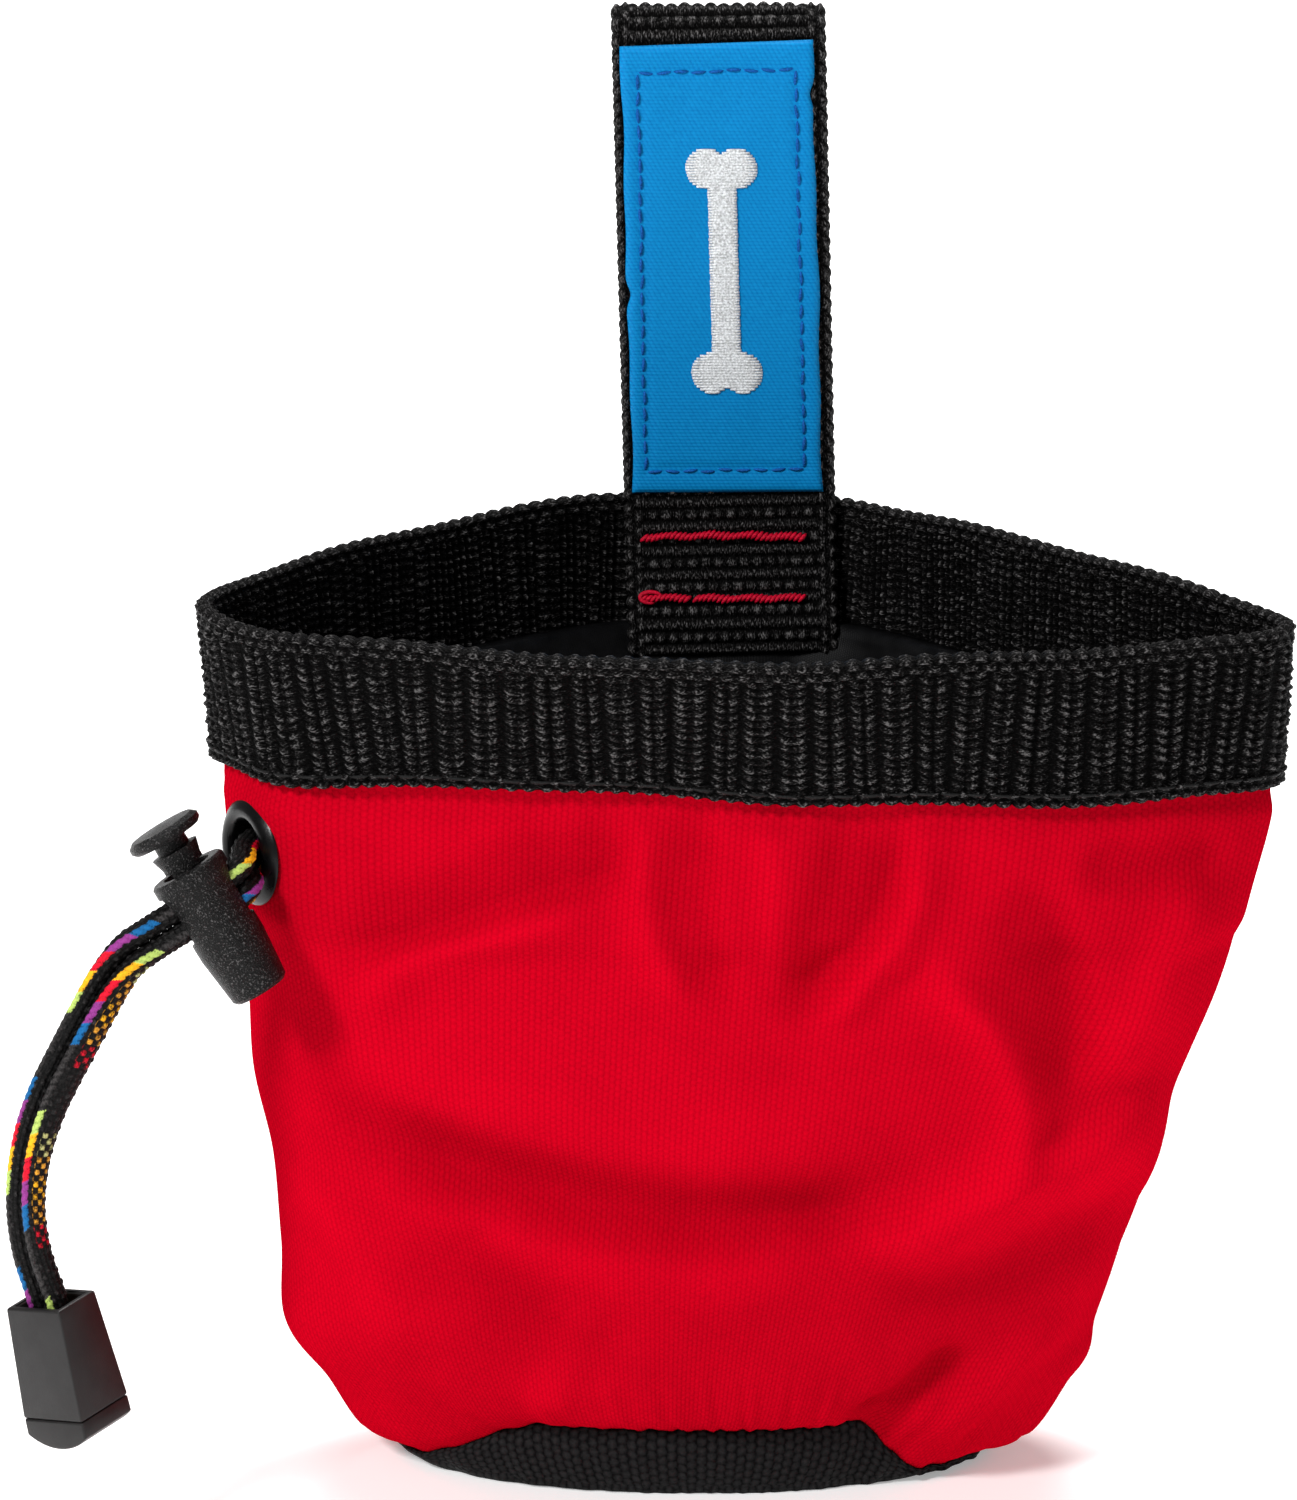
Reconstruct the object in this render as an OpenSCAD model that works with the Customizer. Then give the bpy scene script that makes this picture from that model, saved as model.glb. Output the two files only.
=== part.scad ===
// Belt-hung treat pouch: webbing rim, fabric shell on a flat base, drawcord with a
// spring cord lock, and a webbing belt loop with a sewn label.
// The front faces -Y, the belt side faces +Y, and the base stands on Z = 0.

/* [Rim band] */
// Height of the top edge of the rim above the ground
rim_z = 110; // [104:1:118]
// Width of the rim webbing, measured along its slope
band_w = 19; // [18:0.5:20]
// Thickness of the rim webbing
band_t = 1.8; // [1.4:0.1:2]

/* [Fabric] */
// Thickness of the shell and base fabric
shell_t = 0.9; // [0.6:0.1:1]
// Thickness of the lining fabric
lining_t = 0.6; // [0.4:0.1:0.8]
// How far the shell and lining reach up behind the rim webbing
hem_h = 3; // [2:0.5:3.5]
// Height of the base seam above the ground at the front and back
seam_rise = 8.5; // [6:0.5:9]

/* [Belt loop] */
// Width of the belt loop webbing
strap_w = 25.4; // [24:0.2:26]
// Thickness of the belt loop webbing
strap_t = 1.8; // [1.4:0.1:1.8]
// Sideways place of the middle of the belt loop
strap_x = -1.9; // [-4:0.1:0]
// Height at which the loose loop starts
loop_z = 111.9; // [111.9:0.1:112.5]

/* [Label] */
// Width of the sewn label
label_w = 23; // [20:0.5:24]
// Thickness of the label
label_t = 0.35; // [0.2:0.05:0.5]
// Lowest edge of the label
label_z0 = 112.4; // [112.4:0.1:116]
// Highest edge of the label
label_z1 = 163.6; // [155:0.1:164]
// Length from one stitch of the label to the next
stitch_pitch = 2.5; // [2:0.1:4]

/* [Eyelet] */
// Outer radius of the eyelet flange
eyelet_r = 6.3; // [5.8:0.1:6.6]
// Radius of the hole through the eyelet
eyelet_hole_r = 3.8; // [3.8:0.05:3.9]

/* [Drawcord] */
// Radius of one drawcord strand
cord_r = 1.4; // [1.3:0.05:1.42]
// Sides of the drawcord tube
cord_sides = 8; // [8:1:12]

/* [Cord lock] */
// Length of the cord lock barrel
barrel_l = 16.5; // [16:0.5:18]
// Radius of the barrel below its flared lip
barrel_r = 4.1; // [3.9:0.1:4.3]
// Radius of the barrel at its closed end
barrel_end_r = 3.5; // [3.2:0.1:3.8]
// Radius of the plunger bore
bore_r = 2.5; // [2.4:0.05:2.6]
// Travel of the plunger when pressed
plunger_travel = 2; // [1.5:0.1:2]
// Radius of the plunger button
button_r = 4.5; // [4:0.1:4.8]

/* [Cord end] */
// Length of the cord end, both halves together
end_l = 17.2; // [16:0.2:19]
// Wide side of the cord end at its mouth
end_w = 8.2; // [8:0.1:9]
// Narrow side of the cord end at its mouth
end_d = 6.6; // [6:0.1:7]

/* [Hidden] */
$fn = 48;

black = [0.05, 0.05, 0.055];
red = [0.80, 0.02, 0.05];
blue = [0.05, 0.45, 0.80];

// Gap left between pieces that touch, and the steps that each curve is drawn with
gap = 0.05;
ring_steps = 4;
path_steps = 2;

// ---- Rim outline: plan points of the outer face, counter-clockwise from the front ----
rim_top_points = [[2, -42.3], [16, -41.6], [30, -39.6], [43, -36.3], [54, -32.2],
    [61, -27], [63, -20], [57.5, -12], [49.5, -2.5], [41, 7.5], [32, 17.5], [23, 28],
    [12, 37], [-1.9, 38.4], [-15.5, 37], [-26.5, 30], [-37, 22], [-47, 13], [-55.5, 3],
    [-61.2, -6], [-63.2, -15.5], [-60.6, -23], [-54.5, -29.4], [-46, -34.2], [-34, -38],
    [-17, -41]];
rim_bottom_points = [[2, -36], [16, -36.6], [30, -36.6], [42.5, -34.6], [53, -30.6],
    [60.6, -25.5], [62.2, -18.5], [57, -11], [49.5, -2], [41, 7.5], [32, 17], [23, 27],
    [12, 35.8], [-1.9, 37], [-15.5, 35.6], [-26.5, 28.8], [-37, 21], [-46.5, 12.2],
    [-54.5, 2.6], [-60.3, -5.5], [-62, -13], [-58.6, -20], [-54.4, -26.2],
    [-47, -29.4], [-35, -31.8], [-17, -33.4]];

// ---- Shell outline by height: [z, left, right, front, back, roundness] ----
// Roundness 0 keeps the shape of the rim and 1 is an oval.
shell_levels = [
    [86, -60.1, 60.6, -34.6, 35.0, 0.05],
    [76, -59.8, 59.0, -34.0, 34.6, 0.12],
    [64, -59.3, 56.8, -33.0, 33.6, 0.25],
    [52, -58.9, 53.9, -31.4, 32.0, 0.45],
    [40, -56.7, 51.6, -29.2, 29.8, 0.60],
    [28, -55.6, 48.3, -26.4, 27.0, 0.75],
    [18, -55.3, 44.0, -23.4, 24.0, 0.90],
    [11, -50.8, 41.0, -20.8, 21.2, 1.00]];
seam_level = [0, -41.5, 30.5, -18.0, 17.8, 1];
ground_level = [0, -39.5, 27.5, -15.5, 15.0, 1];
seam_low = 1.5;
// Inward offset of the lining's outer face at each shell level: the channel for the
// drawcord comes first, and below it the lining lies close to the shell
lining_insets = [4.4, 4.2, 1.6, 1.4, 1.4, 1.4, 1.4, 1.5];

// ---- Drawcord ----
strand_offset = 1.42;
channel_z = 84;
channel_inset = shell_t + gap + cord_r + 0.15;
eyelet_c = [-56.5, -19.8, 81.3];
eyelet_azimuth = 212;
sleeve_t = 0.6;
sleeve_l = 3.3;
// Bundle route from inside the eyelet, through the lock, to the cord end:
// each row holds a point and the direction from the front strand to the rear strand
cord_route = [
    [[-54.2, -18.0, 81.3], [0, 0, 1]],
    [[-56.5, -19.9, 81.4], [0, 0, 1]],
    [[-57.1, -21.8, 81.3], [-0.03, 0, 1]],
    [[-57.4, -24.2, 81.1], [-0.15, 0, 1]],
    [[-57.1, -26.8, 80.6], [-0.35, 0, 1]],
    [[-58.2, -28.6, 79.6], [-0.51, 0.10, 0.85]],
    [[-61.4, -29.4, 77.8], [-0.51, 0.10, 0.85]],
    [[-64.7, -30.2, 75.9], [-0.51, 0.10, 0.85]],
    [[-67.6, -30.9, 74.2], [-0.51, 0.10, 0.85]],
    [[-70.4, -31.5, 72.3], [-0.57, 0.25, 0.70]],
    [[-72.6, -32.0, 69.4], [-0.66, 0.55, 0.50]],
    [[-74.8, -32.3, 65.4], [-0.64, 0.72, 0.35]],
    [[-77.2, -32.4, 60.8], [-0.62, 0.76, 0.30]],
    [[-79.6, -32.4, 56.0], [-0.62, 0.76, 0.25]],
    [[-81.4, -32.3, 51.2], [-0.64, 0.76, 0.18]],
    [[-82.5, -32.1, 46.2], [-0.66, 0.75, 0.08]],
    [[-82.8, -31.9, 41.2], [-0.70, 0.71, 0.00]],
    [[-82.2, -31.7, 36.2], [-0.76, 0.65, -0.05]],
    [[-80.9, -31.6, 31.6], [-0.80, 0.59, -0.10]],
    [[-79.9, -31.6, 27.6], [-0.79, 0.57, -0.16]],
    [[-79.0, -31.6, 23.6], [-0.79, 0.57, -0.16]]];

// ---- Cord lock: local +Z runs from the closed end to the button ----
lock_axis = [-0.512, 0.100, 0.853];
lock_hole = [-61.4, -29.4, 77.8];
hole_depth = 4.8;
slot_h = 2 * (strand_offset + cord_r) + 0.9;
slot_w = 2 * cord_r + 0.6;
lip_r = barrel_r + 0.5;
lip_h = 1.5;
plunger_r = bore_r - 0.05;
plunger_l = 9;
ear_r = 2.9;
cord_direction = [-0.850, -0.205, -0.486];

// ---- Cord end ----
end_top = [-80.3, -31.6, 30.6];
end_tilt = -11.5;
end_turn = -36;
end_wall = 0.9;
cap_l = 3.6;
end_flare_w = 0.5;
end_flare_d = 2.0;

// ---- Belt loop: side view of the middle of the webbing, as [y, z] ----
inner_tail_line = [[31.3, 91], [31.5, 95], [32.8, 98.5], [33.7, 104], [34.2, 110]];
outer_tail_line = [[38.1, 92], [38.8, 100.5], [39.5, 110]];
loop_line = [[34.3, loop_z], [34.5, 122], [34.8, 134], [35.0, 146], [35.1, 157],
    [35.2, 163], [36.0, 166.8], [38.5, 168.7], [41.0, 166.8], [41.8, 163], [41.9, 155],
    [41.9, 144], [41.7, 132], [40.8, 120], [39.6, loop_z]];

// ---- Functions ----
function unit(v) = v / norm(v);
function lerp(a, b, t) = a + (b - a) * t;
function spline(a, b, c, d, t) =
    0.5 * (2 * b + (c - a) * t + (2 * a - 5 * b + 4 * c - d) * t * t
    + (3 * b - a - 3 * c + d) * t * t * t);
function smooth_ring(p, steps) = let (n = len(p))
    [for (i = [0:n - 1]) for (k = [0:steps - 1])
        spline(p[(i + n - 1) % n], p[i], p[(i + 1) % n], p[(i + 2) % n], k / steps)];
function smooth_line(p, steps) = let (n = len(p) - 1)
    [for (i = [0:n]) for (k = [0:(i < n ? steps - 1 : 0)])
        spline(p[max(i - 1, 0)], p[i], p[min(i + 1, n)], p[min(i + 2, n)], k / steps)];
// A closed plan outline moved outward by d; it runs counter-clockwise
function grow(ring, d) = let (n = len(ring))
    [for (i = [0:n - 1])
        let (t = unit(ring[(i + 1) % n] - ring[(i + n - 1) % n]))
        ring[i] + d * [t[1], -t[0]]];
function at_height(ring, zs) = [for (i = [0:len(ring) - 1]) [ring[i][0], ring[i][1], zs[i]]];
// A side-view line moved to its left by d
function shift_line(p, d) = let (n = len(p) - 1)
    [for (i = [0:n])
        let (t = unit(p[min(i + 1, n)] - p[max(i - 1, 0)]))
        p[i] + d * [-t[1], t[0]]];
function flip(p) = [for (i = [len(p) - 1:-1:0]) p[i]];

// ---- Rim rings ----
rim_top = smooth_ring(rim_top_points, ring_steps);
rim_bottom = smooth_ring(rim_bottom_points, ring_steps);
ring_n = len(rim_top);
rim_bottom_z = [for (i = [0:ring_n - 1])
    let (d = norm(rim_top[i] - rim_bottom[i])) rim_z - sqrt(band_w * band_w - d * d)];
shell_top = grow(rim_bottom, -band_t - gap);
shell_hem = [for (i = [0:ring_n - 1])
    let (s = hem_h / (rim_z - rim_bottom_z[i]))
    lerp(shell_top[i], grow(rim_top, -band_t - gap)[i], s)];
hem_z = [for (z = rim_bottom_z) z + hem_h];

// ---- Shell rings ----
top_lo = [min([for (p = shell_top) p[0]]), min([for (p = shell_top) p[1]])];
top_hi = [max([for (p = shell_top) p[0]]), max([for (p = shell_top) p[1]])];
rim_shape = [for (p = shell_top)
    [for (k = [0, 1]) (2 * p[k] - top_lo[k] - top_hi[k]) / (top_hi[k] - top_lo[k])]];
oval_shape = [for (p = rim_shape) unit(p)];
function level_ring(level, inset) = let (
    mid = [level[1] + level[2], level[3] + level[4]] / 2,
    half = [level[2] - level[1], level[4] - level[3]] / 2,
    ring = [for (i = [0:ring_n - 1])
        let (s = lerp(rim_shape[i], oval_shape[i], level[5]))
        mid + [half[0] * s[0], half[1] * s[1]]])
    grow(ring, -inset);
function flat_z(z) = [for (i = [0:ring_n - 1]) z];
seam_z = [for (s = oval_shape) seam_low + (seam_rise - seam_low) * s[1] * s[1]];

// ---- Mesh helpers ----
// Skin over a list of equal closed rings; the last ring joins the first
module closed_wall(rings) {
    n = len(rings[0]);
    m = len(rings);
    polyhedron([for (r = rings) each r],
        [for (j = [0:m - 1]) for (i = [0:n - 1]) each let (
            a = j * n + i,
            b = j * n + (i + 1) % n,
            c = ((j + 1) % m) * n + (i + 1) % n,
            d = ((j + 1) % m) * n + i) [[a, c, b], [a, d, c]]]);
}
// Skin over a list of equal closed rings, closed at each end by a fan
module capped_skin(rings) {
    n = len(rings[0]);
    m = len(rings);
    first = m * n;
    centre = function(r) [for (k = [0:2]) (min([for (p = r) p[k]]) + max([for (p = r) p[k]])) / 2];
    polyhedron(concat([for (r = rings) each r], [centre(rings[0]), centre(rings[m - 1])]),
        concat(
            [for (j = [0:m - 2]) for (i = [0:n - 1]) each let (
                a = j * n + i,
                b = j * n + (i + 1) % n,
                c = (j + 1) * n + (i + 1) % n,
                d = (j + 1) * n + i) [[a, b, c], [a, c, d]]],
            [for (i = [0:n - 1]) [first, (i + 1) % n, i]],
            [for (i = [0:n - 1]) [first + 1, (m - 1) * n + i, (m - 1) * n + (i + 1) % n]]));
}
function carried(ts, i, u) = i == len(ts) ? [] :
    let (v = unit(u - (u * ts[i]) * ts[i])) concat([v], carried(ts, i + 1, v));
// Round tube along a line of points
module tube(line, r, sides) {
    n = len(line) - 1;
    ts = [for (i = [0:n]) unit(line[min(i + 1, n)] - line[max(i - 1, 0)])];
    us = carried(ts, 0, abs(ts[0][2]) < 0.8 ? [0, 0, 1] : [1, 0, 0]);
    capped_skin([for (i = [0:n])
        let (w = cross(ts[i], us[i]))
        [for (k = [0:sides - 1])
            line[i] + r * (cos(-360 * k / sides) * us[i] + sin(-360 * k / sides) * w)]]);
}
// Webbing seen from the side along a [y, z] line, as wide as the belt loop
module webbing(line, t, w) {
    translate([strap_x - w / 2, 0, 0])
        rotate([90, 0, 90])
            linear_extrude(w)
                polygon(concat(shift_line(line, t / 2), flip(shift_line(line, -t / 2))));
}
// Turns local +Z to a direction and moves the origin to a place
module aim(place, direction) {
    d = unit(direction);
    translate(place)
        rotate([0, acos(d[2]), atan2(d[1], d[0])])
            children();
}

// ---- Pouch ----
module rim_band() {
    color(black)
        closed_wall([
            at_height(rim_top, flat_z(rim_z)),
            at_height(grow(rim_top, -band_t), flat_z(rim_z)),
            at_height(grow(rim_bottom, -band_t), rim_bottom_z),
            at_height(rim_bottom, rim_bottom_z)]);
}
module band_stitching() {
    stitch_l = 2.2;
    stitch_d = 0.35;
    edge = 1.6;
    stitched = [for (i = [0:ring_n - 1])
        if (rim_bottom[i][1] < 0 || abs(rim_bottom[i][0] - strap_x) > strap_w / 2 + stitch_l) i];
    color(black)
        for (i = stitched) {
            s = edge / (rim_z - rim_bottom_z[i]);
            p = lerp(rim_bottom[i], rim_top[i], s);
            t = rim_bottom[(i + 1) % ring_n] - rim_bottom[(i + ring_n - 1) % ring_n];
            translate([p[0], p[1], rim_bottom_z[i] + edge])
                rotate([0, 0, atan2(t[1], t[0])])
                    translate([-stitch_l / 2, -stitch_d - 2 * gap, -stitch_d / 2])
                        cube([stitch_l, stitch_d, stitch_d]);
        }
}
module shell_body() {
    last = len(shell_levels) - 1;
    color(red)
        difference() {
            closed_wall(concat(
                [at_height(shell_hem, hem_z), at_height(grow(shell_hem, -shell_t), hem_z),
                    at_height(grow(shell_top, -shell_t), rim_bottom_z)],
                [for (l = shell_levels) at_height(level_ring(l, shell_t), flat_z(l[0]))],
                [at_height(level_ring(seam_level, shell_t), seam_z)],
                [at_height(level_ring(seam_level, 0), seam_z)],
                [for (i = [last:-1:0])
                    at_height(level_ring(shell_levels[i], 0), flat_z(shell_levels[i][0]))],
                [at_height(shell_top, rim_bottom_z)]));
            aim(eyelet_c, [cos(eyelet_azimuth), sin(eyelet_azimuth), 0])
                translate([0, 0, -3])
                    cylinder(r = eyelet_hole_r + sleeve_t + gap, h = 6);
        }
}
module shell_base() {
    color(black)
        capped_skin([
            at_height(level_ring(ground_level, 3), flat_z(shell_t)),
            at_height(level_ring(seam_level, shell_t), [for (z = seam_z) z - gap]),
            at_height(level_ring(seam_level, 0), [for (z = seam_z) z - gap]),
            at_height(level_ring(ground_level, 0), flat_z(0))]);
}
module lining_wall() {
    outer_hem = grow(shell_hem, -shell_t - gap);
    outer_top = grow(shell_top, -shell_t - gap);
    last = len(shell_levels) - 1;
    color(black)
        closed_wall(concat(
            [at_height(outer_hem, hem_z), at_height(grow(outer_hem, -lining_t), hem_z),
                at_height(grow(outer_top, -lining_t), rim_bottom_z)],
            [for (i = [0:last]) at_height(
                level_ring(shell_levels[i], lining_insets[i] + lining_t),
                flat_z(shell_levels[i][0]))],
            [for (i = [last:-1:0]) at_height(
                level_ring(shell_levels[i], lining_insets[i]), flat_z(shell_levels[i][0]))],
            [at_height(outer_top, rim_bottom_z)]));
}
module lining_base() {
    rim_level = shell_levels[len(shell_levels) - 1];
    rim_inset = lining_insets[len(lining_insets) - 1];
    floor_z = seam_low;
    color(black)
        capped_skin([
            at_height(level_ring(ground_level, 4), flat_z(floor_z + lining_t)),
            at_height(level_ring(seam_level, 2.2), [for (z = seam_z) z + 1.6]),
            at_height(level_ring(rim_level, rim_inset + lining_t), flat_z(rim_level[0] - gap)),
            at_height(level_ring(rim_level, rim_inset), flat_z(rim_level[0] - gap)),
            at_height(level_ring(seam_level, 1.5), [for (z = seam_z) z + 0.8]),
            at_height(level_ring(ground_level, 4), flat_z(floor_z))]);
}
module drawcord_loop() {
    // The run round the channel leaves out the stretch behind the eyelet
    first_i = 90;
    turns_i = 89;
    stride = 2;
    level = [channel_z, -60.1, 60.4, -34.5, 34.9, 0.06];
    ring = at_height(level_ring(level, channel_inset), flat_z(channel_z));
    color(black)
        tube([for (i = [0:stride:turns_i]) ring[(first_i + i) % ring_n]], cord_r, cord_sides);
}
module eyelet_flange() {
    dome = 1.1;
    color(black)
        aim(eyelet_c, [cos(eyelet_azimuth), sin(eyelet_azimuth), 0])
            rotate_extrude()
                polygon([[eyelet_hole_r, -sleeve_l], [eyelet_hole_r + sleeve_t, -sleeve_l],
                    [eyelet_hole_r + sleeve_t, 0.45], [eyelet_r, 0.45], [eyelet_r, 0.7],
                    [eyelet_r - 0.6, dome + 0.15], [eyelet_r - 1.3, dome + 0.45],
                    [eyelet_hole_r + 0.6, dome + 0.3], [eyelet_hole_r + 0.1, dome - 0.1],
                    [eyelet_hole_r, dome - 0.6]]);
}
module eyelet_washer() {
    color(black)
        aim(eyelet_c, [cos(eyelet_azimuth), sin(eyelet_azimuth), 0])
            translate([0, 0, -sleeve_l])
                difference() {
                    cylinder(r = eyelet_r - 0.9, h = 0.6);
                    translate([0, 0, -1])
                        cylinder(r = eyelet_hole_r + sleeve_t + 0.02, h = 3);
                }
}

// ---- Belt loop ----
module strap_tail_inner() {
    color(black)
        webbing(smooth_line(inner_tail_line, 4), strap_t, strap_w);
}
module strap_tail_outer() {
    color(black)
        webbing(smooth_line(outer_tail_line, 4), strap_t, strap_w);
}
// Thread bars on the inside face and the outside face of the strap's tails
module bartack(z, inner_y, outer_y) {
    bar_l = 20.2;
    bar_h = 1.6;
    bar_t = 0.5;
    for (y = [inner_y - bar_t, outer_y])
        translate([strap_x - bar_l / 2, y, z - bar_h / 2])
            cube([bar_l, bar_t, bar_h]);
}
module bartack_upper() {
    color(red)
        bartack(104.2, 32.2, 40.1);
}
module bartack_lower() {
    color(red)
        bartack(96.6, 30.4, 39.55);
}
module belt_loop_strap() {
    color(black)
        webbing(smooth_line(loop_line, 4), strap_t, strap_w);
}
// Straight front stretch of the loop between two heights, moved off the webbing by d
function front_line(z0, z1, d) = [for (z = [z0, z1])
    [lookup(z, [for (p = loop_line) if (p[0] < 35.5) [p[1], p[0]]]) - strap_t / 2 - d, z]];
module label_patch() {
    color(blue)
        webbing(front_line(label_z0, label_z1, gap + label_t / 2), label_t, label_w);
}
module label_stitching() {
    margin = 2;
    stitch_l = 1.7;
    stitch_d = 0.3;
    w = label_w - 2 * margin;
    z0 = label_z0 + margin;
    h = label_z1 - margin - z0;
    line = front_line(label_z0, label_z1, 2 * gap + label_t + stitch_d);
    face_y = function(z) lookup(z, [for (p = line) [p[1], p[0]]]);
    rows = floor(h / stitch_pitch);
    columns = floor(w / stitch_pitch);
    color(blue) {
        for (i = [0:rows - 1])
            for (x = [-w / 2, w / 2]) {
                z = z0 + (i + 0.5) * h / rows;
                translate([strap_x + x - stitch_d / 2, face_y(z), z - stitch_l / 2])
                    cube([stitch_d, stitch_d, stitch_l]);
            }
        for (i = [0:columns - 1])
            for (z = [z0, z0 + h])
                translate([strap_x - w / 2 + (i + 0.5) * w / columns - stitch_l / 2,
                        face_y(z), z - stitch_d / 2])
                    cube([stitch_l, stitch_d, stitch_d]);
    }
}
module label_bone() {
    bone_l = 30;
    knob_r = 2.6;
    bone_t = 0.2;
    middle_z = (label_z0 + label_z1) / 2;
    face = front_line(label_z0, label_z1, 2 * gap + label_t + bone_t);
    lean = atan2(face[1][0] - face[0][0], label_z1 - label_z0);
    color("white")
        translate([strap_x, (face[0][0] + face[1][0]) / 2, middle_z])
            rotate([-90 - lean, 0, 0])
                linear_extrude(bone_t) {
                    square([3.6, bone_l - 2 * knob_r], center = true);
                    for (sx = [-1, 1])
                        for (sy = [-1, 1])
                            translate([sx * 2.1, sy * (bone_l / 2 - knob_r)])
                                circle(r = knob_r);
                }
}

// ---- Drawcord ----
module strand(side) {
    line = [for (row = cord_route) row[0] + side * strand_offset * unit(row[1])];
    color(black)
        tube(smooth_line(line, path_steps), cord_r, cord_sides);
}
module drawcord_strand_front() {
    strand(-1);
}
module drawcord_strand_rear() {
    strand(1);
}

// ---- Cord end: local -Z runs from the mouth to the closed end ----
module in_end_frame() {
    translate(end_top)
        rotate([0, end_tilt, 0])
            rotate([0, 0, end_turn])
                children();
}
// Tapered box: the wide outline, rounded at its foot, crossed with the narrow outline
module end_body(inset) {
    foot_r = 7;
    half_w = end_w / 2 - inset;
    half_d = end_d / 2 - inset;
    intersection() {
        rotate([90, 0, 0])
            linear_extrude(2 * end_w, center = true)
                intersection() {
                    polygon([[-half_w, 0], [-half_w - end_flare_w, -end_l],
                        [half_w + end_flare_w, -end_l], [half_w, 0]]);
                    translate([0, -end_l + foot_r + inset])
                        union() {
                            circle(r = foot_r);
                            translate([-foot_r, 0])
                                square([2 * foot_r, end_l]);
                        }
                }
        rotate([90, 0, 90])
            linear_extrude(2 * end_w, center = true)
                polygon([[-half_d, 0], [-half_d - end_flare_d / 2, -end_l + cap_l],
                    [-half_d - end_flare_d / 2, -end_l], [half_d + end_flare_d / 2, -end_l],
                    [half_d + end_flare_d / 2, -end_l + cap_l], [half_d, 0]]);
    }
}
module end_slab(z0, z1) {
    translate([-end_w, -end_w, z0])
        cube([2 * end_w, 2 * end_w, z1 - z0]);
}
module cord_end_sleeve() {
    color(black)
        in_end_frame()
            difference() {
                intersection() {
                    end_body(0);
                    end_slab(-end_l + cap_l + gap, 1);
                }
                translate([-end_w / 2 + end_wall, -end_d / 2 + end_wall, -end_l])
                    cube([end_w - 2 * end_wall, end_d - 2 * end_wall, end_l + 1]);
            }
}
module cord_end_cap() {
    spigot_h = 3;
    spigot_w = end_w - 2 * end_wall - 0.2;
    spigot_d = end_d - 2 * end_wall - 0.2;
    color(black)
        in_end_frame() {
            intersection() {
                end_body(0);
                end_slab(-end_l - 1, -end_l + cap_l);
            }
            translate([-spigot_w / 2, -spigot_d / 2, -end_l + cap_l - 0.5])
                cube([spigot_w, spigot_d, spigot_h + 0.5]);
        }
}

// ---- Cord lock ----
module in_lock_frame() {
    aim(lock_hole, lock_axis)
        translate([0, 0, hole_depth])
            children();
}
// Passage for the two strands, through the barrel at right angles to its axis
module cord_slot(h, lift) {
    along = unit(cord_direction - (cord_direction * unit(lock_axis)) * unit(lock_axis));
    side = cross(unit(lock_axis), along);
    up = unit(lock_axis);
    multmatrix([[along[0], side[0], up[0], lock_hole[0]],
        [along[1], side[1], up[1], lock_hole[1]],
        [along[2], side[2], up[2], lock_hole[2]],
        [0, 0, 0, 1]])
        translate([0, 0, lift])
            cube([4 * barrel_r, slot_w, h], center = true);
}
module cord_lock_barrel() {
    mouth_r = ear_r + 0.1;
    mouth_h = 1.3;
    floor_t = 1.2;
    color(black)
        difference() {
            in_lock_frame()
                rotate_extrude()
                    polygon([[0, -barrel_l], [barrel_end_r - 0.4, -barrel_l],
                        [barrel_end_r, -barrel_l + 0.4], [barrel_r, -0.62 * barrel_l],
                        [barrel_r, -lip_h - 1.9], [lip_r, -lip_h], [lip_r, -0.3],
                        [lip_r - 0.3, 0], [mouth_r, 0], [mouth_r, -mouth_h],
                        [bore_r, -mouth_h], [bore_r, -barrel_l + floor_t],
                        [0, -barrel_l + floor_t]]);
            cord_slot(slot_h, 0);
        }
}
module cord_lock_spring() {
    turns = 3;
    wire_r = 0.28;
    coil_r = 1.75;
    steps = 12;
    foot = -barrel_l + 1.2 + wire_r + gap;
    spring_l = 2.6;
    color("silver")
        in_lock_frame()
            tube([for (i = [0:turns * steps])
                [coil_r * cos(360 * i / steps), coil_r * sin(360 * i / steps),
                    foot + spring_l * i / (turns * steps)]], wire_r, 6);
}
module cord_lock_plunger() {
    button_h = 1.5;
    neck_h = 4.1;
    neck_r = 2.0;
    ear_z = 2.6;
    slot_top = slot_h / 2 + plunger_travel;
    color(black)
        difference() {
            in_lock_frame()
                rotate_extrude()
                    polygon([[0, -plunger_l], [plunger_r - 0.3, -plunger_l],
                        [plunger_r, -plunger_l + 0.3], [plunger_r, 1], [ear_r, ear_z],
                        [neck_r, ear_z + 0.1], [neck_r, neck_h], [button_r - 0.4, neck_h],
                        [button_r, neck_h + 0.4], [button_r, neck_h + button_h - 0.5],
                        [button_r - 0.6, neck_h + button_h], [0, neck_h + button_h + 0.2]]);
            cord_slot(slot_h / 2 + slot_top, (slot_top - slot_h / 2) / 2);
        }
}

rim_band();
band_stitching();
shell_body();
shell_base();
lining_wall();
lining_base();
drawcord_loop();
eyelet_flange();
eyelet_washer();
strap_tail_inner();
strap_tail_outer();
bartack_upper();
bartack_lower();
belt_loop_strap();
label_patch();
label_stitching();
label_bone();
drawcord_strand_front();
drawcord_strand_rear();
cord_end_sleeve();
cord_end_cap();
cord_lock_barrel();
cord_lock_spring();
cord_lock_plunger();
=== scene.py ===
import math

import bpy
import numpy as np
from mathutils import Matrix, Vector
from mathutils.bvhtree import BVHTree


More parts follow.
